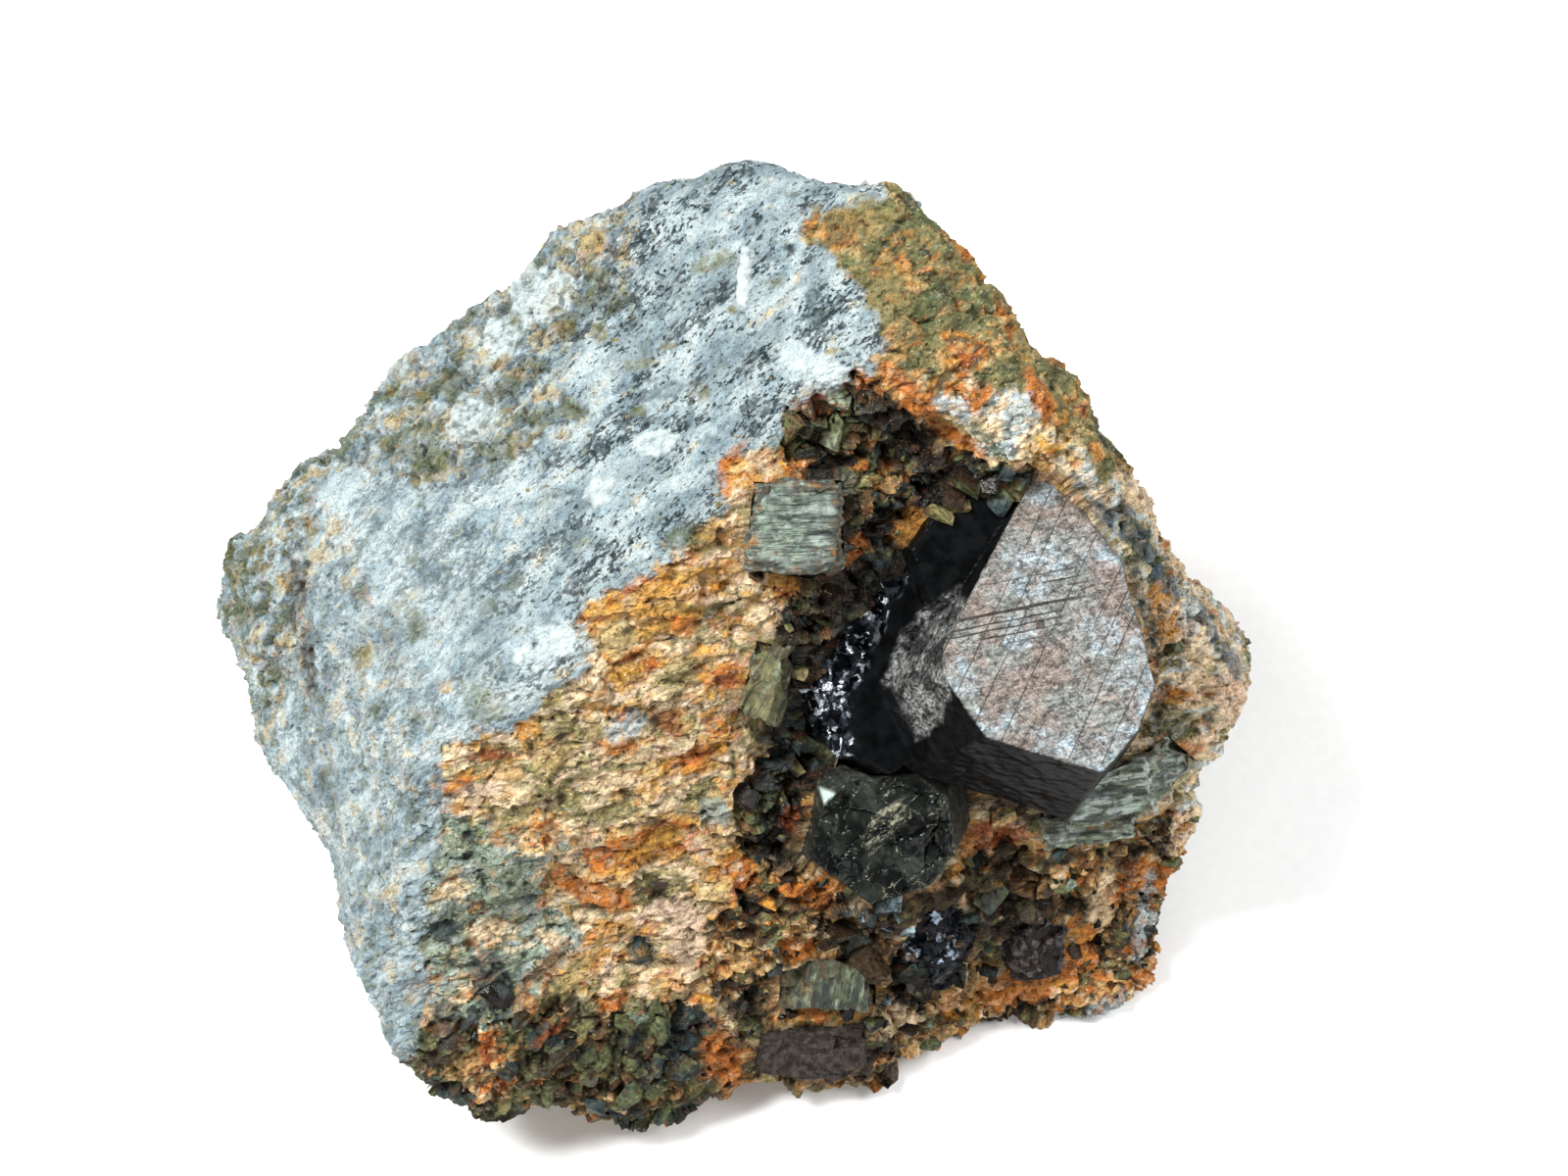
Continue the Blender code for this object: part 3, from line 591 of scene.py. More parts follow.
def finer_where_seen(mesh):
    """Split each square that faces the camera into four."""
    bm = bmesh.new()
    bm.from_mesh(mesh)
    toward = Vector(TOWARD_CAMERA)
    seen = [face for face in bm.faces if face.normal.dot(toward) > 0.0]
    edges = {edge for face in seen for edge in face.edges}
    bmesh.ops.subdivide_edges(bm, edges=list(edges), cuts=1, use_grid_fill=True)
    bm.to_mesh(mesh)
    bm.free()


def search_tree(objects):
    """A search tree of these objects' faces, in millimetres."""
    corners, faces = [], []
    for obj in objects:
        start = len(corners)
        corners += [v.co / MM for v in obj.data.vertices]
        faces += [[start + i for i in p.vertices] for p in obj.data.polygons]
    return BVHTree.FromPolygons(corners, faces)


def crystal_tree():
    """A search tree of every CAD node but the block."""
    return search_tree([node for name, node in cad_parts.items() if name != "rock_matrix"])


def hug_crystals(places):
    """Close the thin gap round each crystal. Also gives each point's distance to a crystal."""
    tree = crystal_tree()
    distance = np.full(len(places), CALM_WITHIN)
    for index, place in enumerate(places):
        point, normal, _, away = tree.find_nearest(Vector(place), CALM_WITHIN)
        if point is not None:
            distance[index] = away
            if away < HUG_WITHIN:
                places[index] = point - normal * HUG_SINK
    return distance


def zone_shares(places, normals):
    """How much of each zone each point has: one row for each zone in ZONES, 1 in all."""
    names = list(ZONES)
    ragged = np.stack([1.1 * noise_at(places, 2.6, row) + 0.8 * noise_at(places, 0.9, row)
                       + 0.35 * noise_at(places, 0.35, row) for row in (1, 2)], axis=1)
    shown = on_picture(places) + ragged * PIXELS_PER_MM
    covers = {name: smooth(depth_inside(shown, outline), -BORDER, BORDER)
              for name, outline in OUTLINES.items()}
    covers["back"] = smooth(0.1 * ragged[:, 0] - normals @ TOWARD_CAMERA, 0.0, 0.12)
    rusty_part = smooth(noise_at(places, 15.0, 3) + 0.16 * ragged[:, 1], -0.06, 0.1)
    covers["back_rusty"] = covers["back"] * rusty_part
    shares = np.zeros((len(names), len(places)))
    shares[names.index("rusty")] = 1.0
    for name, cover in covers.items():
        shares *= 1.0 - cover
        shares[names.index(name)] += cover
    return shares


def patched(colours, places, facing):
    """Colours with the named patches laid over what faces the camera, and what they cover.

    The second is the cover of the white patches, the third that of the others."""
    shown = on_picture(places)
    ragged = 0.55 * noise_at(places, 1.0, 5) + 0.45 * noise_at(places, 0.4, 6)
    worn = 0.72 + 0.45 * noise_at(places, 0.5, 7)
    white, other = np.zeros(len(places)), np.zeros(len(places))
    for across, down, half_length, half_width, rises, name in itertools.chain(*PATCHES.values()):
        angle = math.radians(rises)
        away = (shown - (across, down)) * (1, -1) / PIXELS_PER_MM
        along = (away @ (math.cos(angle), math.sin(angle))) / half_length
        beside = (away @ (-math.sin(angle), math.cos(angle))) / half_width
        cover = smooth(1.0 - along ** 2 - beside ** 2 + ragged, 0.0, 0.6)
        cover = cover * smooth(facing, 0.0, 0.1) * worn
        colours = colours * (1 - cover[:, None]) + np.array(linear(COLOURS[name])) * cover[:, None]
        if "white" in name:
            white = np.maximum(white, cover)
        else:
            other = np.maximum(other, cover)
    return colours, white, other


def uncover_plate(places):
    """Sink what lies over the plate's face, so that the face shows up to its tip."""
    outward = direction(*PLATE_FACES)
    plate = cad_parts["ilmenite_cluster"].data.vertices
    level = max((v.co / MM).dot(Vector(outward)) for v in plate)
    over = np.maximum(places @ outward - level + PLATE_CLEARANCE, 0.0)
    places -= outward * (over * inside_outline(places, PLATE_FACE, 0.15))[:, None]


def dress_rock_mesh(mesh):
    """Grain the block's skin: its relief, and what its material needs to know at each point.

    Gives the name of each point's zone."""
    places, normals = vertices(mesh)
    shares = zone_shares(places, normals)
    facing = normals @ TOWARD_CAMERA
    uncover_plate(places)
    distance = hug_crystals(places)
    colours = np.zeros((len(places), 3))
    height = np.zeros(len(places))
    fine_grains = Grains(places, **FINE_GRAIN)
    fine_share = np.where(fine_grains.chance(5) < FINE_OFTEN, FINE_TINT, FAINT_TINT)
    fine_chance, fine_shade = fine_grains.chance(7), fine_grains.chance(9)
    for (name, palette), share in zip(ZONES.items(), shares):
        here = np.flatnonzero(share > 0.01)
        if not len(here):
            continue
        grains = Grains(places[here], **ZONE_GRAINS[name])
        fine = fine_share[here, None]
        broad = evened(grains.drift + DRIFT_SPREAD * (grains.chance(6) - 0.5))
        close = evened(fine_grains.drift[here] + grains.drift
                       + DRIFT_SPREAD * 2 * (fine_chance[here] - 0.5))
        tint = pick(palette, broad) * (1 - fine) + pick(palette, close) * fine
        shade = 0.86 + 0.2 * grains.chance(8) + 0.14 * fine_shade[here]
        seam = 1.0 - SEAM_SHADE * (1.0 - smooth(grains.seam, 0.0, 0.16))
        colours[here] += tint * (shade * seam * share[here])[:, None]
        relief = grains.height + 0.35 * fine_grains.height[here]
        relief -= SEAM_DEPTH * (1.0 - smooth(grains.seam, 0.0, 0.22))
        pits = smooth(noise_at(places[here], 0.85, 10), 0.22, 0.42)
        height[here] += RELIEF[name] * (relief - PIT_DEPTH * pits) * share[here]
    height += 0.28 * noise_at(places, 2.6, 8) + 0.12 * noise_at(places, 0.9, 9)
    height *= smooth(distance, 0.25, CALM_WITHIN)
    moved = places + normals * height[:, None]
    moved[:, 2] = np.maximum(moved[:, 2], 0.0)
    move_vertices(mesh, moved)
    colours, white, other = patched(colours, places, facing)
    share_of = dict(zip(ZONES, shares))
    pale = sum(share_of[name] for name in PALE_ZONES) + 0.5 * share_of["back"]
    put_tint(mesh, colours)
    across = on_picture(places)[:, 0]
    put_numbers(mesh, pale=pale * (1 - other), fresh=share_of["fresh"] * (1 - other),
                spotted=share_of["edge"], clean=white, plain=other,
                speckled=0.45 + 0.55 * smooth(across, *SPECKLES_FADE))
    return np.array(list(ZONES))[shares.argmax(axis=0)]


def parted(obj, labels):
    """One object for each label, with the faces whose first vertex has it."""
    pieces = []
    for label in sorted(set(labels)):
        bm = bmesh.new()
        bm.from_mesh(obj.data)
        other = [face for face in bm.faces if labels[face.verts[0].index] != label]
        bmesh.ops.delete(bm, geom=other, context="FACES")
        mesh = bpy.data.meshes.new(label)
        bm.to_mesh(mesh)
        bm.free()
        pieces.append(added(label, mesh))
    bpy.data.objects.remove(obj)
    return pieces


class Shader:
    """A material, with short calls that add its nodes. Sizes are in millimetres."""

    def __init__(self, name):
        self.material = bpy.data.materials.new(name)
        self.material.use_nodes = True
        self.tree = self.material.node_tree
        self.surface = self.tree.nodes["Principled BSDF"]
        coordinates = self.add("TexCoord", {}, "Object")
        self.place = self.add("VectorMath", {0: coordinates, "Scale": 1 / MM}, operation="SCALE")

    def add(self, kind, inputs, output=0, **settings):
        node = self.tree.nodes.new("ShaderNode" + kind)
        for key, value in settings.items():
            setattr(node, key, value)
        self.feed(node, inputs)
        return node.outputs[output]

    def feed(self, node, inputs):
        """Give a node its inputs: links from other nodes, or plain values."""
        for key, value in inputs.items():
            if isinstance(value, bpy.types.NodeSocket):
                self.tree.links.new(value, node.inputs[key])
            else:
                node.inputs[key].default_value = value

    def streaked(self, stretch, rises, faces):
        """Places in which everything is drawn out along a streak."""
        turn = Matrix(streak_frame(rises, faces)).transposed().to_euler()
        return self.add("Mapping", {"Vector": self.place, "Rotation": turn,
                                    "Scale": (stretch, 1.0, 1.0)}, vector_type="TEXTURE")

    def noise(self, size, detail=2.0, place=None, roughness=0.5, distortion=0.0):
        return self.add("TexNoise", {"Vector": place or self.place, "Scale": 1 / size,
                                     "Detail": detail, "Roughness": roughness,
                                     "Distortion": distortion}, "Fac")

    def cells(self, size, output="Distance", place=None):
        return self.add("TexVoronoi", {"Vector": place or self.place, "Scale": 1 / size}, output)

    def cell_chance(self, size, place=None):
        colour = self.cells(size, "Color", place)
        return self.add("SeparateColor", {"Color": colour}, "Red")

    def attribute(self, name, output="Fac"):
        return self.add("Attribute", {}, output, attribute_name=name)

    def math(self, operation, a, b=0.0):
        return self.add("Math", {0: a, 1: b}, operation=operation)

    def times(self, a, b):
        return self.math("MULTIPLY", a, b)

    def plus(self, a, b):
        return self.math("ADD", a, b)

    def minus(self, a, b):
        return self.math("SUBTRACT", a, b)

    def most(self, a, b):
        return self.math("MAXIMUM", a, b)

    def level_line(self, value, low, high, strength):
        """A thin line of this strength where a wandering value passes its middle."""
        return self.between(self.math("ABSOLUTE", self.minus(value, 0.5)), low, high, strength, 0.0)

    def between(self, value, low, high, start=0.0, end=1.0):
        """From start to end as value goes from low to high, and level beyond."""
        return self.add("MapRange", {"Value": value, "From Min": low, "From Max": high,
                                     "To Min": start, "To Max": end},
                        interpolation_type="SMOOTHSTEP")

    def cloud(self, low, high, size, detail=2.0, place=None, roughness=0.5, start=0.0, end=1.0):
        """Patches with soft edges: from start to end as noise goes from low to high."""
        return self.between(self.noise(size, detail, place, roughness), low, high, start, end)

    def mix(self, share, a, b, blend="MIX"):
        return self.add("Mix", {0: share, 6: a, 7: b}, 2, data_type="RGBA", blend_type=blend)

    def scaled(self, colour, amount):
        """A colour made darker or lighter."""
        grey = self.add("CombineColor", {"Red": amount, "Green": amount, "Blue": amount})
        return self.mix(1.0, colour, grey, "MULTIPLY")

    def finish(self, colour, roughness, height=None, depth=0.1, metallic=0.0, specular=0.5):
        """Join it all to the surface, with bumps that are this deep. Gives the material."""
        inputs = {"Base Color": colour, "Roughness": roughness, "Metallic": metallic,
                  "Specular IOR Level": specular}
        if height is not None:
            inputs["Normal"] = self.add("Bump", {"Height": height, "Distance": depth * MM,
                                                 "Strength": 1.0})
        self.feed(self.surface, inputs)
        return self.material


def rgba(name, level=1.0):
    """A named colour in linear light, this much lighter."""
    levels = FACE_COLOURS[name] if name in FACE_COLOURS else linear(COLOURS[name])
    return (*[v * level for v in levels], 1.0)


def rock_material():
    s = Shader("weathered_rock")
    tint = s.attribute("tint", "Color")
    fresh, pale = s.attribute("fresh"), s.attribute("pale")
    spotted, clean = s.attribute("spotted"), s.attribute("clean")
    streaks = s.streaked(1.9, FRESH_GRAIN["rises"], FRESH_FACES)
    foliation = s.streaked(1.5, RUSTY_GRAIN["rises"], RUSTY_FACES)
    dirty = s.between(clean, 0.0, 0.8, 1.0, 0.15)

    clouds = s.cloud(0.43, 0.62, 1.5, 5.0, streaks, 0.68, start=0.1, end=0.85)
    clouds = s.times(clouds, s.between(spotted, 0.0, 1.0, 1.0, 0.35))
    cloudy = s.mix(clouds, tint, rgba("white", 1.1))
    haze = s.cloud(0.45, 0.6, 2.4, 4.0, streaks, 0.62, end=0.5)
    cloudy = s.mix(s.times(haze, dirty), cloudy, rgba("blue_grey", 0.85))
    crowd = s.cloud(0.42, 0.62, 2.3, 5.0, streaks, 0.66, end=0.15)
    fine_specks = s.between(s.plus(s.noise(0.24, 3.0, streaks, 0.6), crowd), 0.61, 0.64)
    blots = s.between(s.plus(s.noise(0.6, 5.0, streaks, 0.75), crowd), 0.665, 0.71)
    dark = s.times(s.most(fine_specks, blots), dirty)
    dark = s.times(dark, s.attribute("speckled"))
    dark_tone = s.mix(s.cloud(0.4, 0.6, 1.2, 1.0), rgba("slate", 0.35), rgba("ink_green", 0.55))
    dark = s.times(dark, s.cloud(0.35, 0.6, 0.5, 3.0, roughness=0.6, start=0.6))
    white_rock = s.mix(dark, cloudy, dark_tone)
    spot_noise = s.plus(s.noise(1.0, 3.0, roughness=0.55),
                        s.between(spotted, 0.0, 1.0, 0.0, 0.08))
    halo = s.times(s.between(spot_noise, 0.68, 0.725, 0.0, 0.6), dirty)
    white_rock = s.mix(halo, white_rock, rgba("straw"))
    heart = s.times(s.between(spot_noise, 0.71, 0.745, 0.0, 0.8), dirty)
    white_rock = s.mix(heart, white_rock, rgba("olive", 0.7))
    sugar = s.cloud(0.3, 0.7, 0.12, 2.0, start=0.58, end=0.9)
    white_rock = s.scaled(white_rock, sugar)
    chalk = s.times(s.between(clean, 0.1, 0.9, 0.0, 0.75),
                   s.cloud(0.36, 0.6, 0.9, 5.0, roughness=0.7, start=0.15, end=0.85))
    white_rock = s.mix(chalk, white_rock, rgba("white", 1.15))

    grit = s.cloud(0.28, 0.72, 0.34, 5.0, foliation, 0.72, start=0.42, end=1.34)
    rusty = s.scaled(tint, grit)
    depth = s.add("RGBToBW", {0: tint})
    light_ground = s.between(depth, 0.02, 0.14, 0.25, 1.0)
    light_ground = s.times(light_ground, s.between(s.attribute("plain"), 0.0, 1.0, 1.0, 0.25))
    stain = s.cloud(0.54, 0.66, 1.5, 5.0, foliation, 0.68, end=0.5)
    rusty = s.mix(s.times(stain, light_ground), rusty, rgba("orange", 0.95))
    flecks = s.cloud(0.60, 0.68, 0.55, 4.0, roughness=0.7, end=0.4)
    rusty = s.mix(s.times(flecks, light_ground), rusty, rgba("cool_white"))
    wander = s.noise(0.8, 4.0, foliation, 0.65, 0.8)
    crack = s.level_line(wander, 0.003, 0.02, 0.4)
    rusty = s.mix(crack, rusty, rgba("umber", 0.6))
    # Small pits, painted dark as painted shade, which the bump also sinks.
    pits = s.cloud(0.61, 0.68, 0.42, 3.0, foliation, 0.6, end=0.7)
    rusty = s.mix(pits, rusty, rgba("umber", 0.7))
    crumbs = s.cloud(0.62, 0.68, 0.15, 2.0, end=0.5)
    rusty = s.mix(crumbs, rusty, rgba("umber"))
    lights = s.cloud(0.64, 0.7, 0.2, 2.0, end=0.45)
    rusty = s.mix(s.times(lights, light_ground), rusty, rgba("cream", 1.15))

    some = s.mix(s.times(pale, 0.75), rusty, white_rock)
    colour = s.mix(fresh, some, white_rock)
    shine = s.most(s.between(depth, 0.008, 0.04, 1.0, 0.0),
                   s.between(s.cell_chance(0.28), 0.93, 0.96))
    rough = s.between(shine, 0.0, 1.0, 0.78, 0.24)
    lumps = s.times(s.cells(0.32, place=foliation), -0.6)
    fine = s.noise(0.16, 3.0, roughness=0.7)
    height = s.plus(lumps, s.minus(fine, s.times(pits, 0.8)))
    return s.finish(colour, rough, height, 0.17, specular=0.22)


def make_rock():
    block = evenly_skinned("rock_matrix", "block", ROCK_CELL)
    finer_where_seen(block.data)
    zone = dress_rock_mesh(block.data)
    labels = np.full(len(zone), "rock_rusty_front", "U20")
    for piece, zones in PIECE_ZONES.items():
        labels[np.isin(zone, zones)] = piece
    material = rock_material()
    pieces = parted(block, labels.tolist())
    for piece in pieces:
        piece.data.materials.append(material)
        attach(piece, "root")
        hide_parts("rock_matrix")
    make_crumbs(pieces)


def lines(s, rises, spacing, width, row):
    """Thin straight lines across the plate, at uneven distances, each with gaps along it."""
    place = s.streaked(1.0, rises, PLATE_FACES)
    across = s.add("SeparateXYZ", {0: place}, "Y")
    wobble = s.times(s.noise(1.6, 1.0), 0.12)
    at = s.plus(s.math("DIVIDE", s.plus(across, wobble), spacing), 31.7 * row)
    away = s.add("TexVoronoi", {"W": at, "Scale": 1.0}, "Distance", voronoi_dimensions="1D")
    line = s.between(away, 0.3 * width / spacing, width / spacing, 1.0, 0.0)
    kept = s.cloud(0.40, 0.46, 1.1, 1.0, s.streaked(6.0, rises, PLATE_FACES))
    return s.times(line, kept)


def ilmenite_material():
    """Black ilmenite: the plate's scored steel face with painted sheen, its silver side and glinting
    breaks, with painted highlights and glints.
    """
    s = Shader("ilmenite")
    steel, silver, broken = s.attribute("steel"), s.attribute("silver"), s.attribute("broken")
    facet = s.attribute("facet")
    warmth = s.cloud(0.42, 0.58, 2.6, 4.0, roughness=0.65)
    face = s.mix(warmth, rgba("steel"), rgba("warm_steel"))
    patchy = s.cloud(0.4, 0.62, 0.9, 5.0, roughness=0.7)
    # Painted sheen: a bluish painted reflection in the named spots and along the plate's right rim.
    sheen = s.times(s.attribute("sheen"), s.between(patchy, 0.0, 1.0, 0.12, 0.85))
    face = s.mix(sheen, face, rgba("blue_sheen"))
    # The leathery relief is painted too: darker in its dents and lighter on its rises, as painted
    # shade and highlight.
    leather = s.noise(0.34, 6.0, s.streaked(1.5, 20, PLATE_FACES), 0.78)
    face = s.scaled(face, s.between(leather, 0.34, 0.66, 0.32, 1.62))
    grain = s.noise(0.11, 2.0)
    face = s.scaled(face, s.between(grain, 0.3, 0.7, 0.75, 1.25))
    level = lines(s, rises=14, spacing=0.38, width=0.055, row=1)
    steep = lines(s, rises=62, spacing=1.4, width=0.042, row=2)
    falling = lines(s, rises=-48, spacing=1.3, width=0.03, row=3)
    scored = s.most(s.times(level, s.attribute("lined")), s.times(steep, 0.85))
    scored = s.most(scored, s.times(falling, 0.7))
    wander = s.noise(0.7, 3.0, s.streaked(1.4, 35, PLATE_FACES), 0.6)
    crackle = s.level_line(wander, 0.002, 0.014, 0.72)
    scored = s.most(scored, crackle)
    face = s.mix(s.times(scored, 0.9), face, rgba("scored_line"))

    # The silver side: its wrinkles painted from shade to a silver highlight.
    wrinkles = s.noise(0.2, 5.0, s.streaked(1.7, 48, PLATE_FACES), 0.75)
    side = s.mix(s.between(wrinkles, 0.4, 0.6), rgba("side_shade"), rgba("side_silver"))
    side = s.scaled(side, s.cloud(0.38, 0.62, 1.3, 3.0, roughness=0.6, start=0.25, end=1.5))
    gloss = s.scaled(rgba("gloss"), s.cloud(0.3, 0.7, 0.9, 3.0, start=0.5, end=1.6))
    chips = s.plus(s.cell_chance(0.42), s.between(facet, 0.0, 1.0, -0.2, 0.2))
    splinter = s.mix(s.between(chips, 0.48, 0.56), rgba("dark_splinter"), rgba("splinter"))
    splinter = s.mix(s.between(chips, 0.78, 0.82), splinter, rgba("glint"))
    splinter = s.scaled(splinter, s.cloud(0.35, 0.6, 0.2, 4.0, roughness=0.7, start=0.4, end=1.3))
    colour = s.mix(broken, s.mix(silver, gloss, side), splinter)
    colour = s.mix(steel, colour, face)
    rough = s.cloud(0.3, 0.7, 0.5, 3.0, start=0.14, end=0.28)
    rough = s.plus(rough, s.times(s.most(steel, silver), 0.18))
    metal = s.plus(s.times(steel, 0.5), s.times(silver, 0.5))
    metal = s.math("MINIMUM", s.plus(metal, s.times(broken, 0.85)), 1.0)
    dents = s.times(leather, s.plus(s.times(steel, 0.8), 0.1))
    dents = s.minus(dents, s.times(s.times(scored, steel), 0.35))
    rugged = s.times(s.noise(0.22, 4.0, roughness=0.7), s.most(silver, broken))
    return s.finish(colour, rough, s.plus(dents, rugged), 0.16, metal, specular=0.03)


def glass_black_material():
    """Black with a green cast, pale cracks across its shell-like breaks, grey dull faces painted
    lighter on the lit side, and a painted mint highlight.
    """
    s = Shader("glassy_ilmenite")
    dull, mint, crusted = s.attribute("dull"), s.attribute("mint"), s.attribute("crusted")
    deep = s.mix(s.cloud(0.4, 0.65, 1.8, 3.0), rgba("glass_black"), rgba("glass_green"))
    bend = s.add("TexNoise", {"Vector": s.place, "Scale": 1.1, "Detail": 5.0, "Roughness": 0.65},
                 "Color")
    warped = s.add("VectorMath", {0: s.place, 1: bend})
    cracks = s.add("TexVoronoi", {"Vector": warped, "Scale": 0.75}, "Distance",
                   feature="DISTANCE_TO_EDGE")
    vein = s.between(cracks, 0.003, 0.03, 1.0, 0.0)
    vein = s.times(vein, s.cloud(0.50, 0.57, 0.9, 5.0, roughness=0.8))
    crust = s.cloud(0.47, 0.58, 0.5, 5.0, s.streaked(2.5, 35, LOWER_FACES), 0.75)
    pale = s.most(s.times(vein, 0.8), s.times(crust, crusted))
    grey = s.scaled(rgba("dull_grey"),
                    s.cloud(0.35, 0.65, 0.3, 5.0, roughness=0.75, start=0.3, end=1.8))
    colour = s.mix(dull, deep, grey)
    bone = s.scaled(rgba("bone"),
                    s.cloud(0.35, 0.65, 0.2, 4.0, roughness=0.7, start=0.3, end=1.7))
    colour = s.mix(s.times(pale, s.between(dull, 0.0, 1.0, 0.9, 0.25)), colour, bone)
    # Painted highlight on the small mint facet.
    colour = s.mix(mint, colour, rgba("mint"))
    rough = s.plus(s.times(dull, 0.3), s.times(pale, 0.3))
    rough = s.plus(rough, 0.1)
    height = s.plus(s.times(pale, 0.4), s.times(s.noise(0.5, 4.0), 0.7))
    return s.finish(colour, rough, height, 0.12, specular=0.14)


def dark_material(name, base, lit, lit_share, roughness, metallic):
    """A dark crystal: this share of its facets is painted lit, as painted glints, and its faces are
    mottled and worn.
    """
    s = Shader(name)
    chips = s.plus(s.cell_chance(0.4), s.between(s.attribute("facet"), 0.0, 1.0, -0.3, 0.3))
    bright = s.between(chips, 1.0 - lit_share, 1.05 - lit_share)
    mottle = s.cloud(0.38, 0.62, 0.4, 5.0, roughness=0.75, start=0.25, end=1.25)
    colour = s.scaled(s.mix(bright, (*base, 1.0), (*lit, 1.0)), mottle)
    dirt = s.cloud(0.58, 0.66, 1.1, 4.0, roughness=0.65, end=0.7)
    colour = s.mix(dirt, colour, rgba("brown", 0.8))
    rough = s.cloud(0.3, 0.7, 0.4, 2.0, start=roughness, end=roughness + 0.25)
    height = s.plus(s.noise(0.3, 4.0, roughness=0.7), s.cells(0.5))
    return s.finish(colour, rough, height, 0.12, metallic, specular=0.15)


def amphibole_material(name, rises, faces, palette):
    """Green striped blades: thin stripes along them, rusty here and there."""
    s = Shader(name)
    stripes = s.noise(0.13, 4.0, s.streaked(8.0, rises, faces), 0.65)
    broad = s.noise(0.8, 4.0, s.streaked(2.5, rises, faces), 0.65)
    low, middle, high = [rgba(colour) for colour in palette]
    colour = s.mix(s.between(stripes, 0.34, 0.6), low, middle)
    colour = s.mix(s.between(broad, 0.48, 0.64, 0.0, 0.75), colour, high)
    shade = s.cloud(0.38, 0.62, 0.7, 4.0, roughness=0.7, start=0.45, end=1.25)
    colour = s.scaled(colour, shade)
    stain = s.cloud(0.57, 0.66, 1.0, 4.0, roughness=0.65, end=0.75)
    colour = s.mix(stain, colour, rgba("brown"))
    rust = s.cloud(0.40, 0.56, 0.5, 4.0, roughness=0.7, end=0.85)
    crust = s.mix(s.cloud(0.52, 0.66, 0.8, 3.0), rgba("brown", 0.75), rgba("amber", 0.7))
    colour = s.mix(s.times(s.attribute("rusted"), rust), colour, crust)
    blade = s.noise(0.5, 2.0, s.streaked(9.0, rises, faces), 0.5)
    # Painted shade in the gaps between the blades.
    gap = s.between(blade, 0.40, 0.46, 0.75, 0.0)
    colour = s.mix(gap, colour, rgba("ink_green", 0.3))
    # Painted highlight along the blades inside their outline.
    highlight_streaks = s.times(s.between(blade, 0.5, 0.56), s.between(stripes, 0.4, 0.58, 0.4, 1.0))
    colour = s.mix(s.times(s.attribute("bright"), highlight_streaks), colour, rgba("blade_glow"))
    rough = s.between(stripes, 0.3, 0.7, 0.3, 0.6)
    return s.finish(colour, rough, stripes, 0.22)


def add_piece(obj, node, material, slot):
    obj.data.materials.append(material)
    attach(obj, "root")
    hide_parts(node)


def inside_outline(places, outline, soft=0.25):
    """1 where a point shows inside an outline on the picture, 0 outside."""
    return smooth(depth_inside(on_picture(places), outline), -soft, soft)


def nearness(places, within):
    """1 where a point of a crystal touches the block, 0 at this distance from it and beyond."""
    tree = search_tree([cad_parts["rock_matrix"]])
    found = [tree.find_nearest(Vector(p), within)[3] for p in places]
    return 1 - smooth(np.array([within if away is None else away for away in found]), 0.1, within)


def spots(places, centres):
    """1 at the middle of each named spot on the picture, 0 past its reach in millimetres."""
    shown = on_picture(places)
    cover = np.zeros(len(places))
    for across, down, reach in centres.values():
        away = np.linalg.norm(shown - (across, down), axis=1) / PIXELS_PER_MM
        cover = np.maximum(cover, 1 - smooth(away, 0.35 * reach, reach))
    return cover


def make_cluster():
    """The large plate with the slabs behind it: steel face, silver side and broken edge."""
    piece = evenly_skinned("ilmenite_cluster", "ilmenite_plates", CRYSTAL_CELL)
    places, normals = vertices(piece.data)
    outward = direction(*PLATE_FACES)
    level = places @ outward
    steel = smooth(level - level.max(), -0.55, -0.25) * smooth(normals @ outward, 0.6, 0.9)
    ragged = places + 0.35 * stirring(places, 0.9, (11, 12, 13))
    silver = inside_outline(ragged, SILVER_SIDE) * (1 - steel)
    broken = inside_outline(ragged, BROKEN_EDGE) * (1 - steel)
    shards = Grains(places, size=0.85, stretch=1.4, rises=60, faces=PLATE_FACES)
    height = broken * 0.7 * shards.height + silver * 0.13 * noise_at(places, 0.4, 14)
    height += 0.05 * noise_at(places, 0.55, 15) * (1 - 0.7 * steel)
    height += 0.08 * noise_at(places, 1.6, 16)
    move_vertices(piece.data, places + normals * height[:, None])
    wild = places + 1.1 * stirring(places, 1.3, (51, 52, 53))
    # A painted highlight along the plate's right rim, added to the painted sheen.
    margin = depth_inside(on_picture(places), PLATE_FACE)
    rim = (1 - smooth(margin, 0.1, 0.7)) * smooth(on_picture(places)[:, 0], *RIM_HIGHLIGHT_FROM)
    put_numbers(piece.data, steel=steel, sheen=np.maximum(spots(wild, SHEEN), rim),
                lined=0.25 + 0.75 * inside_outline(places, SCORED, 0.8), silver=silver,
                broken=broken, facet=shards.chance(18))
    add_piece(piece, "ilmenite_cluster", ilmenite_material(), "ilmenite_steel")


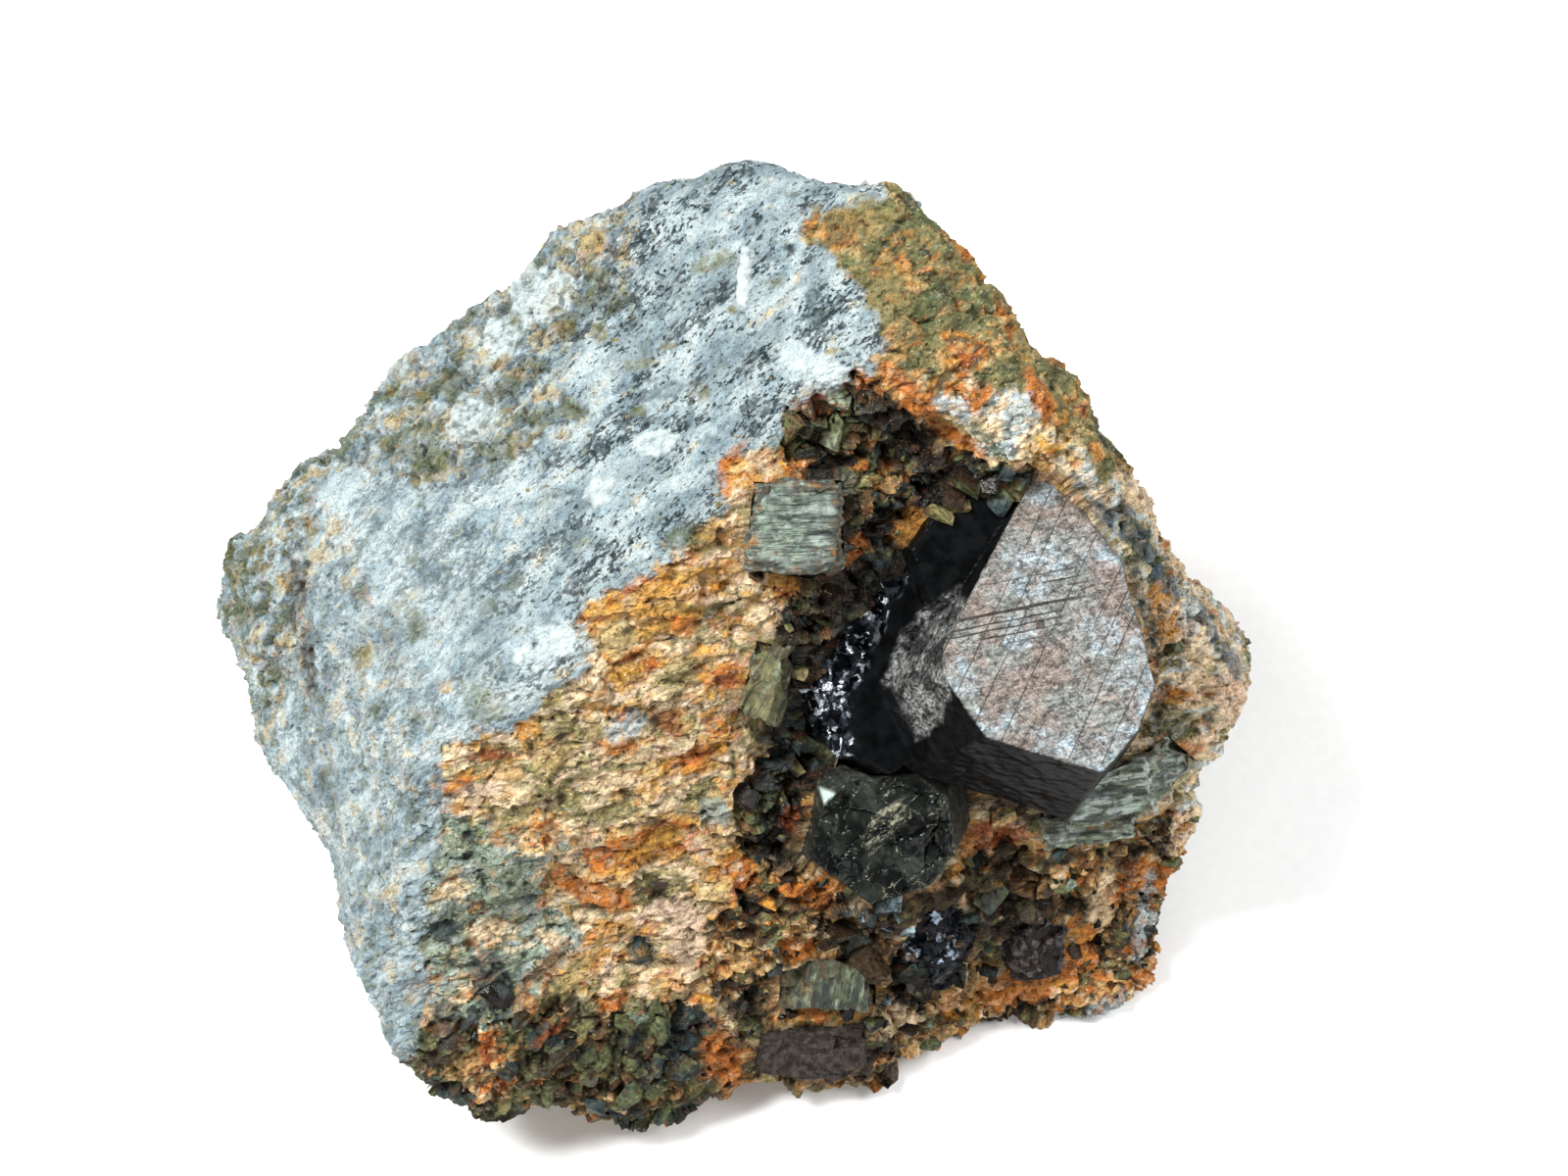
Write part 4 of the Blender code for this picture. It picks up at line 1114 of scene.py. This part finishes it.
def make_lower():
    """The glassy black crystal, with shell-like breaks in its front."""
    piece = evenly_skinned("ilmenite_lower", "ilmenite_glassy", CRYSTAL_CELL)
    places, normals = vertices(piece.data)
    front = smooth(normals @ direction(*LOWER_FACES), 0.80, 0.93)
    shells = Grains(places, size=2.3, stretch=1.2, rises=70, faces=LOWER_FACES)
    height = front * (0.30 * shells.height - 0.10 * (1 - smooth(shells.seam, 0.0, 0.1)))
    height += 0.06 * noise_at(places, 0.5, 21) + 0.12 * noise_at(places, 1.5, 22)
    move_vertices(piece.data, places + normals * height[:, None])
    # Dull faces that look up and to the right are painted lighter, the others darker: painted light
    # and shade.
    lit_side = smooth(normals @ (PICTURE_RIGHT + PICTURE_UP), -0.3, 0.6)
    put_numbers(piece.data, dull=(1 - front) * (0.2 + 0.8 * lit_side),
                mint=inside_outline(places, MINT_HIGHLIGHT_FACET, 0.1),
                crusted=inside_outline(places, CRUST, 0.2))
    add_piece(piece, "ilmenite_lower", glass_black_material(), "ilmenite_black")


def make_dark(node, name, slot, grain, relief, looks, flashes=None):
    """A dark crystal: its own faces, roughened by shards of this size, with painted glints that gather
    at the flashes.
    """
    piece = evenly_skinned(node, name, CRYSTAL_CELL)
    places, normals = vertices(piece.data)
    shards = Grains(places, size=grain, stretch=1.5, rises=30, faces=RUSTY_FACES)
    height = relief * shards.height + 0.06 * noise_at(places, 0.5, 23)
    move_vertices(piece.data, places + normals * height[:, None])
    flash = spots(places, flashes) if flashes else 1.0
    put_numbers(piece.data, facet=shards.chance(24) * flash)
    add_piece(piece, node, dark_material(**looks), slot)


def make_blades(node, name, rises, faces, palette, slot, clean_inside=None):
    """Amphibole: ribs and splinters that run along the blades.

    It is rusty at the block and here and there, or else all but inside an outline."""
    piece = evenly_skinned(node, name, BLADE_CELL)
    places, normals = vertices(piece.data)
    local = places @ streak_frame(rises, faces).T
    ribs = noise_at(local * (0.13, 1.0, 1.0), 0.3, 31) + noise_at(local * (0.3, 1.0, 1.0), 1.0, 32)
    splinters = Grains(places, size=0.6, stretch=3.0, rises=rises, faces=faces)
    worn = nearness(places, 1.6)
    rough = 0.7 * ribs + 0.6 * splinters.height + 1.1 * noise_at(places, 1.7, 34)
    height = BLADE_RELIEF * rough - worn * smooth(noise_at(places, 1.1, 35), -0.1, 0.4)
    move_vertices(piece.data, places + normals * height[:, None])
    rust = np.maximum(smooth(noise_at(places, 1.8, 33), 0.1, 0.35), worn)
    if clean_inside:
        wild = places + 0.8 * stirring(places, 1.2, (61, 62, 63))
        rust = 1.0 - inside_outline(wild, clean_inside, 0.5)
    # The blades inside their outline get a painted highlight.
    put_numbers(piece.data, rusted=rust, bright=inside_outline(places, BLADE_HIGHLIGHTS, 0.15))
    add_piece(piece, node, amphibole_material(name, rises, faces, palette), slot)


def crumb(spin, size):
    """Corners of one small block of crystal, in millimetres about its middle."""
    stretch = (size, size * spin.uniform(0.5, 0.9), size * spin.uniform(0.25, 0.6))
    axis = Vector((spin.gauss(0, 1), spin.gauss(0, 1), spin.gauss(0, 1) + 0.1))
    turn = Matrix.Rotation(spin.uniform(0, math.tau), 3, axis)
    return [turn @ Vector(0.5 * side * way * spin.uniform(0.25, 1.15)
                          for side, way in zip(stretch, corner))
            for corner in [*itertools.product((-1, 1), repeat=3)] * 2]


def crumb_places(spin):
    """Across and down in the picture, size and colour of each crumb, and whether it is a lump."""
    places = [(*lump, True) for lump in itertools.chain(*LUMPS.values())]
    for name, (count, size, palette) in CRUMBS.items():
        outline = np.array(OUTLINES[name])
        (left, high), (right, low) = outline.min(axis=0), outline.max(axis=0)
        tried = np.array([(spin.uniform(left, right), spin.uniform(high, low))
                          for _ in range(count)])
        for across, down in tried[depth_inside(tried, outline) > CRUMB_MARGIN]:
            grown = size * (0.45 + 1.3 * spin.random() ** 3)
            colour = spin.choices(list(palette), palette.values())[0]
            # Crumbs in the shaded recess are painted dark, as painted shade.
            in_painted_shade = any(math.dist((across, down), (x, y)) < SHADED_REACH for x, y in SHADED_SPOTS)
            if in_painted_shade and colour not in DARK_CRUMBS:
                colour = "umber"
            places.append((across, down, grown, colour, False))
    return places


def make_crumbs(rock_pieces):
    """Small crystals of the rock, sunk halfway into it, and the named lumps among them."""
    spin = random.Random(CRUMB_SEED)
    rock, crystals = search_tree(rock_pieces), crystal_tree()
    eye = Vector(CAMERA_AT)
    bm = bmesh.new()
    tints = []
    for across, down, size, colour, is_lump in crumb_places(spin):
        way = (PICTURE_RIGHT * (across - PICTURE[0] / 2)
               + PICTURE_UP * (PICTURE[1] / 2 - down)) * SENSOR / LENS / PICTURE[0]
        way = Vector(way - TOWARD_CAMERA).normalized()
        at, _, _, far = rock.ray_cast(eye, way)
        before, _, _, blocked = crystals.ray_cast(eye, way)
        shape = crumb(spin, size)
        hidden = before is not None and (at is None or blocked < far + 0.3)
        if hidden and is_lump:
            at = before
        elif at is None or hidden or crystals.find_nearest(at, CRUMB_CLEARANCE)[0] is not None:
            continue
        if at.z < CRUMB_LOWEST:
            continue
        made = [bm.verts.new((at + corner) * MM) for corner in shape]
        bmesh.ops.convex_hull(bm, input=made)
        bmesh.ops.delete(bm, geom=[v for v in made if not v.link_faces], context="VERTS")
        tints += [linear(COLOURS[colour])] * (len(bm.verts) - len(tints))
    mesh = bpy.data.meshes.new("coarse_grains")
    bm.to_mesh(mesh)
    bm.free()
    put_tint(mesh, np.array(tints))
    piece = added("coarse_grains", mesh)
    s = Shader("coarse_grains")
    tint = s.attribute("tint", "Color")
    colour = s.scaled(tint, s.cloud(0.32, 0.68, 0.3, 4.0, roughness=0.7, start=0.2, end=1.4))
    dark = s.between(s.add("RGBToBW", {0: tint}), 0.01, 0.08, 1.0, 0.0)
    stain = s.cloud(0.52, 0.62, 0.9, 4.0, roughness=0.65, end=0.6)
    stain = s.times(stain, s.between(dark, 0.0, 1.0, 1.0, 0.3))
    colour = s.mix(stain, colour, rgba("brown", 0.6))
    rough = s.between(dark, 0.0, 1.0, 0.6, 0.2)
    material = s.finish(colour, rough, s.noise(0.2, 3.0), 0.06, specular=0.15)
    piece.data.materials.append(material)
    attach(piece, "root")


def make_crystals():
    make_cluster()
    make_lower()
    for node, details in DARK_CRYSTALS.items():
        make_dark(node, **details)
    for node, details in BLADES.items():
        make_blades(node, **details)


def make_stage():
    bpy.ops.mesh.primitive_plane_add(size=FLOOR_SIDE * MM, location=(0, 0, 0))
    floor = bpy.context.object
    floor.name = "floor"
    s = Shader("floor_paper")
    grain = s.cloud(0.3, 0.7, 0.8, 3.0, start=0.97)
    paper = s.scaled(rgba("paper"), grain)
    floor.data.materials.append(s.finish(paper, 0.9))


def make_lights():
    for name, (place, side, power) in LAMPS.items():
        light = bpy.data.lights.new(name, "AREA")
        light.size = side * MM
        light.energy = power
        lamp = added(name, light)
        lamp.location = Vector(place) * MM
        toward = Vector(LIT_MIDDLE) * MM - lamp.location
        lamp.rotation_euler = toward.to_track_quat("-Z", "Y").to_euler()
    world = bpy.data.worlds.new("studio")
    world.use_nodes = True
    background = world.node_tree.nodes["Background"]
    background.inputs["Color"].default_value = (1.0, 1.0, 1.0, 1.0)
    background.inputs["Strength"].default_value = WORLD_LIGHT
    bpy.context.scene.world = world
    bpy.context.scene.view_settings.view_transform = "Standard"


def make_camera():
    lens = bpy.data.cameras.new("camera")
    lens.lens, lens.sensor_width = LENS, SENSOR
    lens.clip_start = 10 * MM
    camera = added("camera", lens)
    camera.location = Vector(CAMERA_AT) * MM
    camera.rotation_euler = (math.radians(CAMERA_PITCH), 0.0, 0.0)
    bpy.context.scene.camera = camera


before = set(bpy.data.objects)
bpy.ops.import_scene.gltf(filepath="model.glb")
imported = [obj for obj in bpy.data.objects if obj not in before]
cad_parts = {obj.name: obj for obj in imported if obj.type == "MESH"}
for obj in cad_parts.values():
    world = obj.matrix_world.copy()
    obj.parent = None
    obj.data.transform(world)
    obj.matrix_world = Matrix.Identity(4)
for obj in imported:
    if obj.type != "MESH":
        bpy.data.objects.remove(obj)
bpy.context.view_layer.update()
make_camera()
make_rock()
make_crystals()
make_stage()
make_lights()
